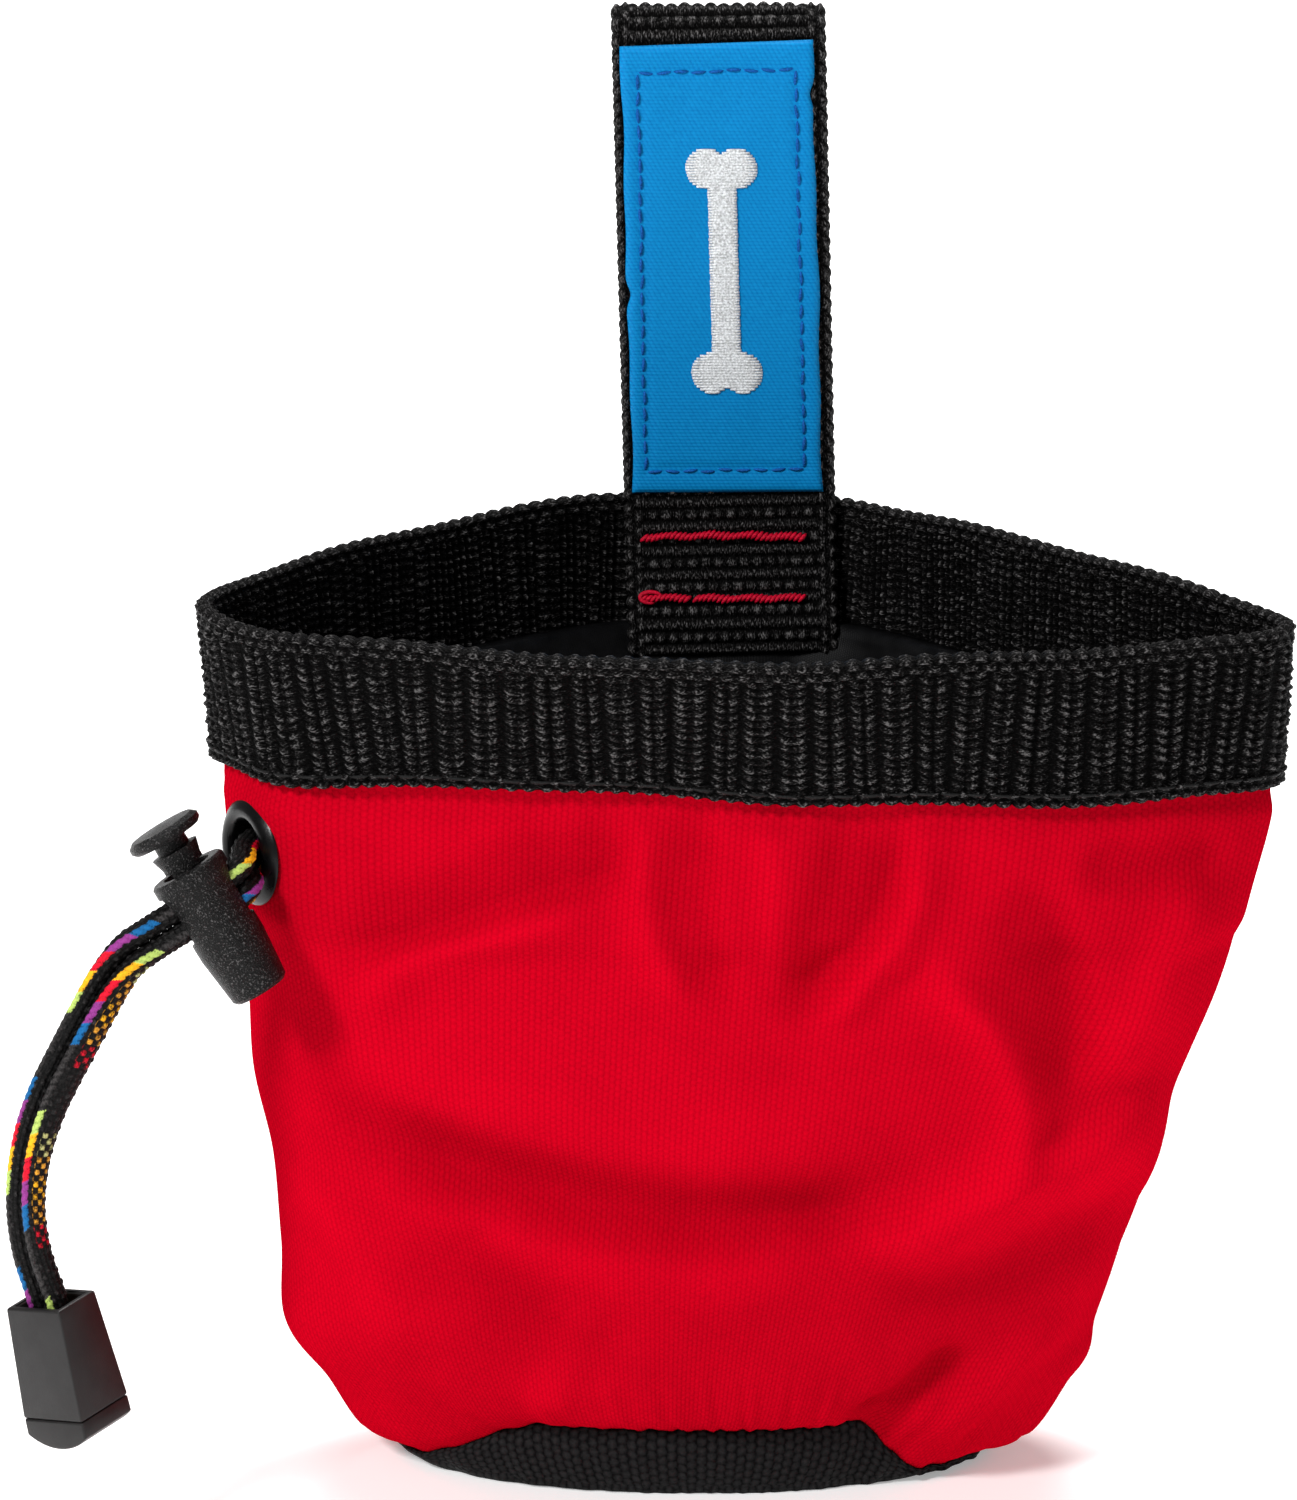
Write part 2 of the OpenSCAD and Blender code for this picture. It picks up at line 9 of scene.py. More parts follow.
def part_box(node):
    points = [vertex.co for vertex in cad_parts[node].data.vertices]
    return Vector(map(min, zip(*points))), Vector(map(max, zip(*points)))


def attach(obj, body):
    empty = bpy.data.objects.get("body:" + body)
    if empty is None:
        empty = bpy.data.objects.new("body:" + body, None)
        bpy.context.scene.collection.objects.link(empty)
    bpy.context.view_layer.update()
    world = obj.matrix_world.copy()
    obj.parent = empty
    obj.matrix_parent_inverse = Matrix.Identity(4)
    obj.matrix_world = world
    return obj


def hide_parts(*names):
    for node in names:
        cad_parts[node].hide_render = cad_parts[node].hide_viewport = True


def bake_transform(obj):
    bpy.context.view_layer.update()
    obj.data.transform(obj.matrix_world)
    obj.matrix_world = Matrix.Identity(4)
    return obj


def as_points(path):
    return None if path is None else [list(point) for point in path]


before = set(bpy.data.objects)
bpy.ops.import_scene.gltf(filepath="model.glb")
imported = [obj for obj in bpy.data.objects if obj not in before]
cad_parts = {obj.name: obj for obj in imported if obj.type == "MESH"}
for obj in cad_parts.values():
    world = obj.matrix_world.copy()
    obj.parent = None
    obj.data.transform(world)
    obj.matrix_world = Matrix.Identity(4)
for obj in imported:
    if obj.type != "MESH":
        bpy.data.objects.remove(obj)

MM = 0.001
RNG = np.random.default_rng(11)
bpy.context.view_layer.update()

# ---- Driving sizes ----
CORD_D = 3.4
STRAND_OFFSET = 1.42          # from the middle of the two strands to the middle of each
BAND_W, BAND_T = 19.0, 1.8
STRAP_W, STRAP_T = 25.4, 1.8
SHELL_T, LINING_T = 0.8, 0.5
RIB, FLOAT = 1.95, 1.07       # pitch of the band's ribs, and of the floats in a rib
STRAP_ROW, STRAP_FLOAT = 1.5, 1.57
STRAP_SELVEDGE = 1.9          # pitch of the knots along the strap's edges
WEBBING_SKIN = 0.3            # part of a webbing's thickness that its weave takes up
EYELET_HOLE, EYELET_R = 3.8, 6.3
SEAM_LOW = 1.5                # lowest height of the seam between shell and base
WEAVE_DEPTH = 0.7
FOLD_DEPTH = 1.55             # scale of the front folds' heights
RING_SAMPLES = 720            # rays round the pouch where a ring is taken from the frame
TUNNEL_LOW, TUNNEL_HIGH = (70, 75), (87, 91)   # heights where the cord tunnel fades in and out
HEM_RISE, HEM_REACH = 0.06, (0.15, 1.3)        # the lining's turned edge over the shell's hem


# ---------------------------------------------------------------- camera, lights, stage
def make_camera():
    data = bpy.data.cameras.new("camera")
    data.sensor_width = 36
    data.lens = 183.4
    camera = bpy.data.objects.new("camera", data)
    bpy.context.scene.collection.objects.link(camera)
    tilt, distance = math.radians(16), 0.9
    target = Vector((-0.011, 0, 0.0877))
    camera.location = target + distance * Vector((0, -math.cos(tilt), math.sin(tilt)))
    camera.rotation_euler = (math.pi / 2 - tilt, 0, 0)
    bpy.context.scene.camera = camera


def area_light(name, place, target, size, power):
    data = bpy.data.lights.new(name, "AREA")
    data.size = size
    data.energy = power
    light = bpy.data.objects.new(name, data)
    light.location = place
    light.rotation_euler = (Vector(target) - Vector(place)).to_track_quat("-Z", "Y").to_euler()
    bpy.context.scene.collection.objects.link(light)


def make_lights():
    middle = (-0.01, 0, 0.08)
    area_light("key_light", (-0.7, -0.75, 0.85), middle, 0.25, 13.0)
    area_light("fill_light", (0.8, -0.7, 0.35), middle, 0.6, 1.3)
    area_light("low_light", (0.2, -1.0, 0.14), (0, 0, 0.02), 0.5, 0.2)
    area_light("top_light", (0.05, 0.35, 0.95), middle, 0.6, 3)
    area_light("backdrop_light", (0, 0.7, 1.3), (0, 1.7, 0), 1.0, 34)
    world = bpy.data.worlds.new("studio")
    world.use_nodes = True
    world.node_tree.nodes["Background"].inputs["Color"].default_value = (1, 1, 1, 1)
    world.node_tree.nodes["Background"].inputs["Strength"].default_value = 0.17
    bpy.context.scene.world = world
    bpy.context.scene.view_settings.view_transform = "Standard"


# ---------------------------------------------------------------- small maths
def unit(v):
    v = np.asarray(v, float)
    return v / np.linalg.norm(v, axis=-1, keepdims=True)


def smoothstep(a, b, x):
    t = np.clip((x - a) / (b - a), 0, 1)
    return t * t * (3 - 2 * t)


def catmull(points, steps, closed=False):
    """A Catmull-Rom curve through points, with steps samples from each point to the next."""
    p = np.asarray(points, float)
    if closed:
        p = np.concatenate([p[-1:], p, p[:2]])
    else:
        p = np.concatenate([2 * p[:1] - p[1:2], p, 2 * p[-1:] - p[-2:-1]])
    t = (np.arange(steps) / steps)[None, :, None]
    a, b, c, d = (q[:, None] for q in (p[:-3], p[1:-2], p[2:-1], p[3:]))
    curve = 0.5 * (2 * b + (c - a) * t + (2 * a - 5 * b + 4 * c - d) * t ** 2
                   + (3 * b - a - 3 * c + d) * t ** 3)
    curve = curve.reshape(-1, p.shape[1])
    return curve if closed else np.concatenate([curve, p[-2:-1]])


def path_length(points, closed=False):
    """Distance along a line at each point; a closed line has one value more."""
    p = np.concatenate([points, points[:1]]) if closed else points
    steps = np.linalg.norm(np.diff(p[:, :3], axis=0), axis=1)
    return np.concatenate([[0], np.cumsum(steps)])


def resample(points, count, closed=False):
    """Points at equal distances along a line; extra columns are carried along."""
    s = path_length(points, closed)
    p = np.concatenate([points, points[:1]]) if closed else points
    where = np.linspace(0, s[-1], count + 1 if closed else count)
    out = np.stack([np.interp(where, s, p[:, k]) for k in range(p.shape[1])], axis=1)
    return out[:-1] if closed else out


def blur_ring(values, width):
    """Gaussian blur of values given round a ring, width in samples."""
    n = len(values)
    k = np.fft.fftfreq(n)
    gain = np.exp(-2 * (np.pi * k * width) ** 2)
    gain = gain.reshape([-1] + [1] * (values.ndim - 1))
    return np.fft.ifft(np.fft.fft(values, axis=0) * gain, axis=0).real


def beads(x, sharp=0.5):
    """Rounded bumps of height 1, one in each unit of x, with narrow grooves between them."""
    return np.abs(np.sin(np.pi * x)) ** sharp


def jitter(shape, seed):
    return np.random.default_rng(seed).uniform(-1, 1, shape)


def waves(x, y, seed, count=9, longest=60.0, shortest=12.0):
    """Soft random undulation in -1..1, made of a few sine waves."""
    r = np.random.default_rng(seed)
    total = np.zeros(np.broadcast(x, y).shape)
    for _ in range(count):
        length = r.uniform(shortest, longest)
        turn = r.uniform(0, np.pi)
        total += np.sin(2 * np.pi * (x * np.cos(turn) + y * np.sin(turn)) / length
                        + r.uniform(0, 2 * np.pi))
    return total / math.sqrt(count) / 1.5


# ---------------------------------------------------------------- meshes
def grid_faces(rows, columns, close_rows=False, close_columns=False):
    """Quads over a grid of points, and the grid corners of each quad without wrapping."""
    r, c = np.meshgrid(np.arange(rows if close_rows else rows - 1),
                       np.arange(columns if close_columns else columns - 1), indexing="ij")
    r, c = r.ravel(), c.ravel()
    corner_r = np.stack([r, r, r + 1, r + 1], axis=1)
    corner_c = np.stack([c, c + 1, c + 1, c], axis=1)
    return (corner_r % rows) * columns + corner_c % columns, (corner_r, corner_c)


def make_piece(name, points, faces, materials, uv=None, face_material=None, flip=False,
               relief=None):
    """A smooth-shaded mesh object from points in mm and a list of equal-sided face arrays."""
    faces = [np.asarray(f, np.int32)[:, ::-1] if flip else np.asarray(f, np.int32)
             for f in faces]
    mesh = bpy.data.meshes.new(name)
    mesh.vertices.add(len(points))
    mesh.vertices.foreach_set("co", (np.asarray(points) * MM).astype(np.float32).ravel())
    loops = np.concatenate([f.ravel() for f in faces])
    sides = np.concatenate([np.full(len(f), f.shape[1]) for f in faces])
    mesh.loops.add(len(loops))
    mesh.loops.foreach_set("vertex_index", loops)
    mesh.polygons.add(len(sides))
    mesh.polygons.foreach_set("loop_start", np.concatenate([[0], np.cumsum(sides)[:-1]]))
    mesh.polygons.foreach_set("use_smooth", np.ones(len(sides), bool))
    for material in materials:
        mesh.materials.append(material)
    if face_material is not None:
        mesh.polygons.foreach_set("material_index", np.asarray(face_material, np.int32))
    if uv is not None:
        if flip:
            uv = [u[:, ::-1] for u in uv]
        layer = mesh.uv_layers.new(name="mm")
        layer.data.foreach_set(
            "uv", np.concatenate([u.reshape(-1, 2) for u in uv]).astype(np.float32).ravel())
    if relief is not None:
        depth = mesh.attributes.new("relief", "FLOAT", "POINT")
        depth.data.foreach_set("value", np.asarray(relief, np.float32).ravel())
    mesh.update(calc_edges=True)
    mesh.validate()
    piece = bpy.data.objects.new(name, mesh)
    bpy.context.scene.collection.objects.link(piece)
    return piece


def tubes(lines, radii, sides=8, flat=1.0, ups=None):
    """Points and faces of closed round threads. lines is (threads, rings, 3); radii is per ring."""
    count, rings, _ = lines.shape
    tangent = unit(np.gradient(lines, axis=1))
    if ups is None:
        ups = np.broadcast_to([0.0, -1.0, 0.0], lines.shape)
    side = unit(np.cross(tangent, ups))
    up = np.cross(side, tangent)
    angle = 2 * np.pi * np.arange(sides) / sides
    ring = (side[:, :, None] * np.cos(angle)[None, None, :, None]
            + flat * up[:, :, None] * np.sin(angle)[None, None, :, None])
    points = lines[:, :, None] + ring * np.broadcast_to(radii, (count, rings))[..., None, None]
    quads, _ = grid_faces(rings, sides, close_columns=True)
    base = (np.arange(count) * rings * sides)[:, None, None]
    first = np.arange(sides)[::-1]
    last = (rings - 1) * sides + np.arange(sides)
    caps = np.concatenate([base[:, 0] + first, base[:, 0] + last])
    return points.reshape(-1, 3), [(quads[None] + base).reshape(-1, 4), caps]


def stitch_lines(starts, ends, normals, rise, rings=9):
    """Arched thread lines from starts to ends, standing rise above the surface."""
    t = np.linspace(0, 1, rings)[None, :, None]
    arch = np.sin(np.pi * t) ** 0.6
    return starts[:, None] * (1 - t) + ends[:, None] * t + normals[:, None] * (arch * rise)


def thread_radii(rings, radius):
    """Radius of a thread along its length, drawn in at both ends."""
    t = np.linspace(0, 1, rings)
    return radius * np.clip(np.sin(np.pi * t), 0.05, 1) ** 0.35


def revolve(profile, place, axis, count=96):
    """Points and quads of a closed profile of [radius, height] turned about an axis."""
    axis = unit(axis)
    side = unit(np.cross([0, 0, 1], axis))
    other = np.cross(axis, side)
    profile = np.asarray(profile)
    angle = 2 * np.pi * np.arange(count) / count
    ring = np.cos(angle)[:, None] * side + np.sin(angle)[:, None] * other
    points = (np.asarray(place) + profile[None, :, :1] * ring[:, None]
              + profile[None, :, 1:] * axis)
    quads, _ = grid_faces(count, len(profile), close_rows=True, close_columns=True)
    return points.reshape(-1, 3), [quads]


def ribbon(centre, across, normal, width, thickness, samples, relief, edge_pitch, closed):
    """A webbing of given width along centre. relief(s, v, face) is the height of its weave, 0 to 1
    of WEAVE_DEPTH; v runs across it, and face is 1 on the normal's side, -1 behind."""
    n = len(centre)
    s = path_length(centre, closed)[:n]
    edge = thickness / 2
    v = np.linspace(-width / 2 + edge * 0.6, width / 2 - edge * 0.6, samples)
    turn = np.radians(np.linspace(90, -90, 7)[1:-1])
    right = np.stack([v[-1] + 0.6 * edge * np.cos(turn), edge * np.sin(turn)], axis=1)
    section = np.concatenate([
        np.stack([v, np.full(samples, edge)], axis=1), right,
        np.stack([v[::-1], np.full(samples, -edge)], axis=1), -right])
    face = np.concatenate([np.ones(samples), np.zeros(5), -np.ones(samples), np.zeros(5)])
    knots = beads(s / edge_pitch, 0.7)[:, None]
    depth = np.repeat(0.1 + 0.65 * knots, len(section), axis=1)
    for side in (1, -1):
        pick = face == side
        depth[:, pick] = relief(s[:, None], section[pick, 0][None], side)
    lift = (depth - 0.5) * WEAVE_DEPTH * face
    near_edge = smoothstep(width / 2 - 1.8, width / 2, np.abs(section[:, 0]))
    out = section[:, 0] + np.sign(section[:, 0]) * near_edge * (0.55 * knots - 0.35)
    points = (centre[:, None] + across[:, None] * out[..., None]
              + normal[:, None] * (section[None, :, 1] + lift)[..., None])
    k = len(section)
    quads, corners = grid_faces(n, k, close_rows=closed, close_columns=True)
    faces = [quads]
    s_all = np.concatenate([s, [path_length(centre, closed)[-1]]])
    around = np.concatenate([[0], np.cumsum(np.linalg.norm(np.diff(
        np.concatenate([section, section[:1]]), axis=0), axis=1))])
    uv = [np.stack([s_all[corners[0]], around[corners[1]]], axis=-1)]
    if not closed:
        back = samples + 5
        j = np.arange(samples - 1)
        for row, order in ((0, 1), (n - 1, -1)):
            cap = np.stack([row * k + j, row * k + back + samples - 1 - j,
                            row * k + back + samples - 2 - j, row * k + j + 1], axis=1)
            edges = [np.concatenate([[row * k + samples - 1], row * k + samples + np.arange(5),
                                     [row * k + back]])[None, ::-1],
                     np.concatenate([[row * k + back + samples - 1],
                                     row * k + back + samples + np.arange(5),
                                     [row * k]])[None, ::-1]]
            faces += [cap[:, ::order]] + [e[:, ::order] for e in edges]
            uv += [np.zeros(cap.shape + (2,))] + [np.zeros(e.shape + (2,)) for e in edges]
    return points.reshape(-1, 3), faces, uv, depth


# ---------------------------------------------------------------- materials
class Graph:
    """Short calls for the nodes of one material."""

    def __init__(self, name, colour, roughness, **constants):
        self.material = bpy.data.materials.new(name)
        self.material.use_nodes = True
        self.tree = self.material.node_tree
        self.surface = self.tree.nodes["Principled BSDF"]
        self.surface.inputs["Base Color"].default_value = (*colour, 1)
        self.surface.inputs["Roughness"].default_value = roughness
        for socket, value in constants.items():
            self.surface.inputs[socket.replace("_", " ")].default_value = value

    def put(self, socket, value):
        if hasattr(value, "is_output"):
            self.tree.links.new(value, socket)
        else:
            socket.default_value = value

    def math(self, operation, a, b=0.0):
        node = self.tree.nodes.new("ShaderNodeMath")
        node.operation = operation
        self.put(node.inputs[0], a)
        self.put(node.inputs[1], b)
        return node.outputs[0]

    def uv(self):
        node = self.tree.nodes.new("ShaderNodeSeparateXYZ")
        self.put(node.inputs[0], self.tree.nodes.new("ShaderNodeTexCoord").outputs["UV"])
        return node.outputs[0], node.outputs[1]

    def place(self):
        """Object coordinates in millimetres."""
        node = self.tree.nodes.new("ShaderNodeVectorMath")
        node.operation = "SCALE"
        self.put(node.inputs[0], self.tree.nodes.new("ShaderNodeTexCoord").outputs["Object"])
        node.inputs["Scale"].default_value = 1 / MM
        return node.outputs[0]

    def vector(self, x, y, z=0.0):
        node = self.tree.nodes.new("ShaderNodeCombineXYZ")
        for socket, value in zip(node.inputs, (x, y, z)):
            self.put(socket, value)
        return node.outputs[0]

    def relief(self):
        """Height of the modelled weave or folds, 0 to 1; the colour ramps use it to paint shade in
        the hollows and light on the tops.
        """
        node = self.tree.nodes.new("ShaderNodeAttribute")
        node.attribute_name = "relief"
        return node.outputs["Fac"]

    def noise(self, vector, scale, detail=3.0):
        node = self.tree.nodes.new("ShaderNodeTexNoise")
        self.put(node.inputs["Vector"], vector)
        node.inputs["Scale"].default_value = scale
        node.inputs["Detail"].default_value = detail
        return node.outputs[0]

    def ramp(self, factor, stops):
        node = self.tree.nodes.new("ShaderNodeValToRGB")
        self.put(node.inputs[0], factor)
        elements = node.color_ramp.elements
        while len(elements) < len(stops):
            elements.new(0.5)
        for element, (place, colour) in zip(elements, stops):
            element.position = place
            element.color = (*colour, 1)
        self.tree.links.new(node.outputs[0], self.surface.inputs["Base Color"])

    def roughness(self, factor, low, high):
        value = self.math("ADD", self.math("MULTIPLY", factor, high - low), low)
        self.tree.links.new(value, self.surface.inputs["Roughness"])

    def bump(self, height, depth):
        """depth is in millimetres."""
        node = self.tree.nodes.new("ShaderNodeBump")
        node.inputs["Strength"].default_value = 1.0
        node.inputs["Distance"].default_value = depth * MM
        self.put(node.inputs["Height"], height)
        last = self.surface.inputs["Normal"]
        if last.is_linked:
            self.tree.links.new(last.links[0].from_socket, node.inputs["Normal"])
        self.tree.links.new(node.outputs[0], last)

    def weave(self, pitch_u, pitch_v):
        """Height of a plain weave, 0 to 1, in the UV map's millimetres."""
        u, v = self.uv()
        column = self.math("DIVIDE", u, pitch_u)
        row = self.math("DIVIDE", v, pitch_v)
        shift = self.math("MULTIPLY", self.math("MODULO", self.math("FLOOR", column), 2.0), 0.5)
        across = self.math("ABSOLUTE", self.math("SINE", self.math("MULTIPLY", column, np.pi)))
        along = self.math("ABSOLUTE", self.math(
            "SINE", self.math("MULTIPLY", self.math("ADD", row, shift), np.pi)))
        return self.math("ADD", self.math("MULTIPLY", across, 0.55),
                         self.math("MULTIPLY", along, 0.45))


def shades(colour, low, high):
    return [(0.3, tuple(c * low for c in colour)), (0.7, tuple(c * high for c in colour))]


def webbing_material():
    g = Graph("black_webbing", (0.008, 0.0075, 0.0075), 0.42, Specular_IOR_Level=0.03)
    u, v = g.uv()
    fibres = g.noise(g.vector(g.math("MULTIPLY", u, 2.6), g.math("MULTIPLY", v, 5.5)), 1.0, 5.0)
    glint = g.math("MULTIPLY", g.math("SUBTRACT", fibres, 0.5), 2.6)
    # The ramp paints shade into the weave's low gaps and painted highlights (glints) on the raised
    # floats.
    tone = g.math("ADD", g.math("MULTIPLY", g.relief(), 0.85), glint)
    g.ramp(tone, [(0.25, (0.0006, 0.0005, 0.0005)), (0.58, (0.006, 0.0056, 0.0056)),
                  (0.85, (0.045, 0.043, 0.043)), (1.0, (0.13, 0.125, 0.125))])
    g.roughness(fibres, 0.3, 0.6)
    g.bump(fibres, 0.3)
    return g.material


def thread_material(name, colour, braided=False):
    g = Graph(name, colour, 0.5, Specular_IOR_Level=0.12)
    fibres = g.noise(g.place(), 4.0, 4.0)
    if braided:
        # Braided yarn: the ramp paints shade into the low gaps between yarns and painted highlights
        # on the raised yarns.
        glint = g.math("MULTIPLY", g.math("SUBTRACT", fibres, 0.5), 1.6)
        tone = g.math("ADD", g.math("MULTIPLY", g.relief(), 0.7), glint)
        painted_highlight_gain = 1.4 if max(colour) > 0.05 else 5.0
        g.ramp(tone, [(0.1, tuple(c * 0.12 for c in colour)), (0.45, colour),
                      (0.95, tuple(c * painted_highlight_gain for c in colour))])
    else:
        g.ramp(fibres, shades(colour, 0.55, 1.35))
    g.bump(fibres, 0.12)
    return g.material


def shell_material():
    g = Graph("red_polyester", (0.54, 0.0008, 0.010), 0.7, Specular_IOR_Level=0.0)
    weave = g.weave(0.66, 0.77)
    slow = g.noise(g.place(), 0.09)
    fine = g.noise(g.place(), 2.2)
    tone = g.math("ADD", g.math("MULTIPLY", weave, 0.38),
                  g.math("ADD", g.math("MULTIPLY", slow, 0.35), g.math("MULTIPLY", fine, 0.32)))
    # The fold heights from the relief attribute paint shade into the grooves and light onto the
    # ridges; the weave and noise tone are the cloth's own colour.
    weave_tone_and_fold_shade = g.math("ADD", tone, g.math("MULTIPLY", g.math("SUBTRACT", g.relief(), 0.5), 0.5))
    g.ramp(weave_tone_and_fold_shade, [(0.2, (0.34, 0.0002, 0.007)), (0.9, (0.64, 0.0010, 0.014))])
    g.bump(weave, 0.07)
    g.bump(fine, 0.05)
    return g.material


def base_material():
    g = Graph("black_polyester", (0.008, 0.008, 0.0082), 0.6, Specular_IOR_Level=0.05)
    weave = g.weave(0.9, 0.9)
    fine = g.noise(g.place(), 2.5)
    g.ramp(g.math("MULTIPLY", g.math("ADD", weave, fine), 0.5),
           [(0.38, (0.0008, 0.0008, 0.001)), (0.8, (0.018, 0.0175, 0.018))])
    g.bump(weave, 0.16)
    g.bump(fine, 0.06)
    return g.material


def lining_material():
    g = Graph("black_nylon", (0.003, 0.003, 0.0033), 0.5, Specular_IOR_Level=0.07)
    weave = g.weave(0.3, 0.3)
    fine = g.noise(g.place(), 0.5)
    g.ramp(fine, [(0.3, (0.002, 0.002, 0.0022)), (0.7, (0.005, 0.005, 0.0055))])
    g.roughness(fine, 0.34, 0.52)
    g.bump(weave, 0.03)
    return g.material


def gloss_paint_material():
    g = Graph("painted_eyelet", (0.002, 0.002, 0.0022), 0.3, Specular_IOR_Level=0.22)
    wear = g.noise(g.place(), 0.8, 5.0)
    g.roughness(wear, 0.2, 0.4)
    g.bump(g.noise(g.place(), 3.0), 0.012)
    return g.material


def steel_material():
    g = Graph("spring_steel", (0.55, 0.55, 0.56), 0.3, Metallic=1.0)
    g.roughness(g.noise(g.place(), 4.0), 0.2, 0.45)
    return g.material


def eroded_plastic_material():
    g = Graph("textured_black_plastic", (0.003, 0.003, 0.003), 0.4, Specular_IOR_Level=0.18)
    grain_and_glint = g.noise(g.place(), 4.6, 2.0)
    fine = g.noise(g.place(), 9.0, 2.0)
    # The light specks where the grain peaks are painted glints; the darker stops are the plastic's
    # own random tone.
    g.ramp(grain_and_glint, [(0.45, (0.002, 0.002, 0.002)), (0.58, (0.008, 0.0075, 0.0075)),
                   (0.72, (0.12, 0.115, 0.115))])
    g.roughness(grain_and_glint, 0.2, 0.5)
    g.bump(grain_and_glint, 0.2)
    g.bump(fine, 0.04)
    return g.material


def satin_plastic_material():
    g = Graph("smooth_black_plastic", (0.011, 0.01, 0.01), 0.42, Specular_IOR_Level=0.35)
    wear = g.noise(g.place(), 0.35, 4.0)
    g.ramp(wear, [(0.3, (0.009, 0.008, 0.008)), (0.7, (0.016, 0.0148, 0.0148))])
    g.roughness(g.noise(g.place(), 2.0), 0.34, 0.52)
    g.bump(g.noise(g.place(), 6.0), 0.02)
    return g.material


def label_material():
    g = Graph("blue_label", (0.004, 0.235, 0.585), 0.5, Specular_IOR_Level=0.08)
    u, v = g.uv()
    twill = g.math("ABSOLUTE", g.math("SINE", g.math(
        "MULTIPLY", g.math("ADD", g.math("MULTIPLY", u, 1.7), g.math("MULTIPLY", v, 0.95)),
        np.pi)))
    picks = g.math("ABSOLUTE", g.math("SINE", g.math("MULTIPLY", v, np.pi / 0.42)))
    weave = g.math("ADD", g.math("MULTIPLY", twill, 0.5), g.math("MULTIPLY", picks, 0.5))
    speck = g.noise(g.place(), 2.6)
    tone = g.math("MULTIPLY", g.math("ADD", weave, speck), 0.5)
    g.ramp(tone, [(0.25, (0.0005, 0.175, 0.50)), (0.8, (0.004, 0.285, 0.66))])
    g.bump(weave, 0.06)
    return g.material


YARN_COLOURS = {
    "black_yarn": (0.011, 0.010, 0.010), "lime_yarn": (0.42, 0.56, 0.13),
    "yellow_yarn": (0.88, 0.42, 0.012), "red_yarn": (0.62, 0.004, 0.022),
    "purple_yarn": (0.25, 0.035, 0.22), "blue_yarn": (0.006, 0.11, 0.30),
    "cream_yarn": (0.48, 0.46, 0.18), "orange_yarn": (0.70, 0.31, 0.03)}
YARNS = {name: i for i, name in enumerate(YARN_COLOURS)}


# ---------------------------------------------------------------- drawcord
# Each row holds a point and the direction from the front strand to the rear strand
CORD_ROUTE = [
    [[-54.2, -18.0, 81.3], [0, 0, 1]],
    [[-56.5, -19.9, 81.4], [0, 0, 1]],
    [[-57.1, -21.8, 81.3], [-0.03, 0, 1]],
    [[-57.4, -24.2, 81.1], [-0.15, 0, 1]],
    [[-57.1, -26.8, 80.6], [-0.35, 0, 1]],
    [[-58.2, -28.6, 79.6], [-0.51, 0.10, 0.85]],
    [[-61.4, -29.4, 77.8], [-0.51, 0.10, 0.85]],
    [[-64.7, -30.2, 75.9], [-0.51, 0.10, 0.85]],
    [[-67.6, -30.9, 74.2], [-0.51, 0.10, 0.85]],
    [[-70.4, -31.5, 72.3], [-0.57, 0.25, 0.70]],
    [[-72.6, -32.0, 69.4], [-0.66, 0.55, 0.50]],
    [[-74.8, -32.3, 65.4], [-0.64, 0.72, 0.35]],
    [[-77.2, -32.4, 60.8], [-0.62, 0.76, 0.30]],
    [[-79.6, -32.4, 56.0], [-0.62, 0.76, 0.25]],
    [[-81.4, -32.3, 51.2], [-0.64, 0.76, 0.18]],
    [[-82.5, -32.1, 46.2], [-0.66, 0.75, 0.08]],
    [[-82.8, -31.9, 41.2], [-0.70, 0.71, 0.00]],
    [[-82.2, -31.7, 36.2], [-0.76, 0.65, -0.05]],
    [[-80.9, -31.6, 31.6], [-0.80, 0.59, -0.10]],
    [[-79.9, -31.6, 27.6], [-0.79, 0.57, -0.16]],
    [[-79.0, -31.6, 23.6], [-0.79, 0.57, -0.16]]]
LOCK_EXIT_S = 20.0
TRACER_PERIOD = 23.3
TRACER_STEP = 2.9
CELL = 0.78
BRAID_DEPTH = 0.27


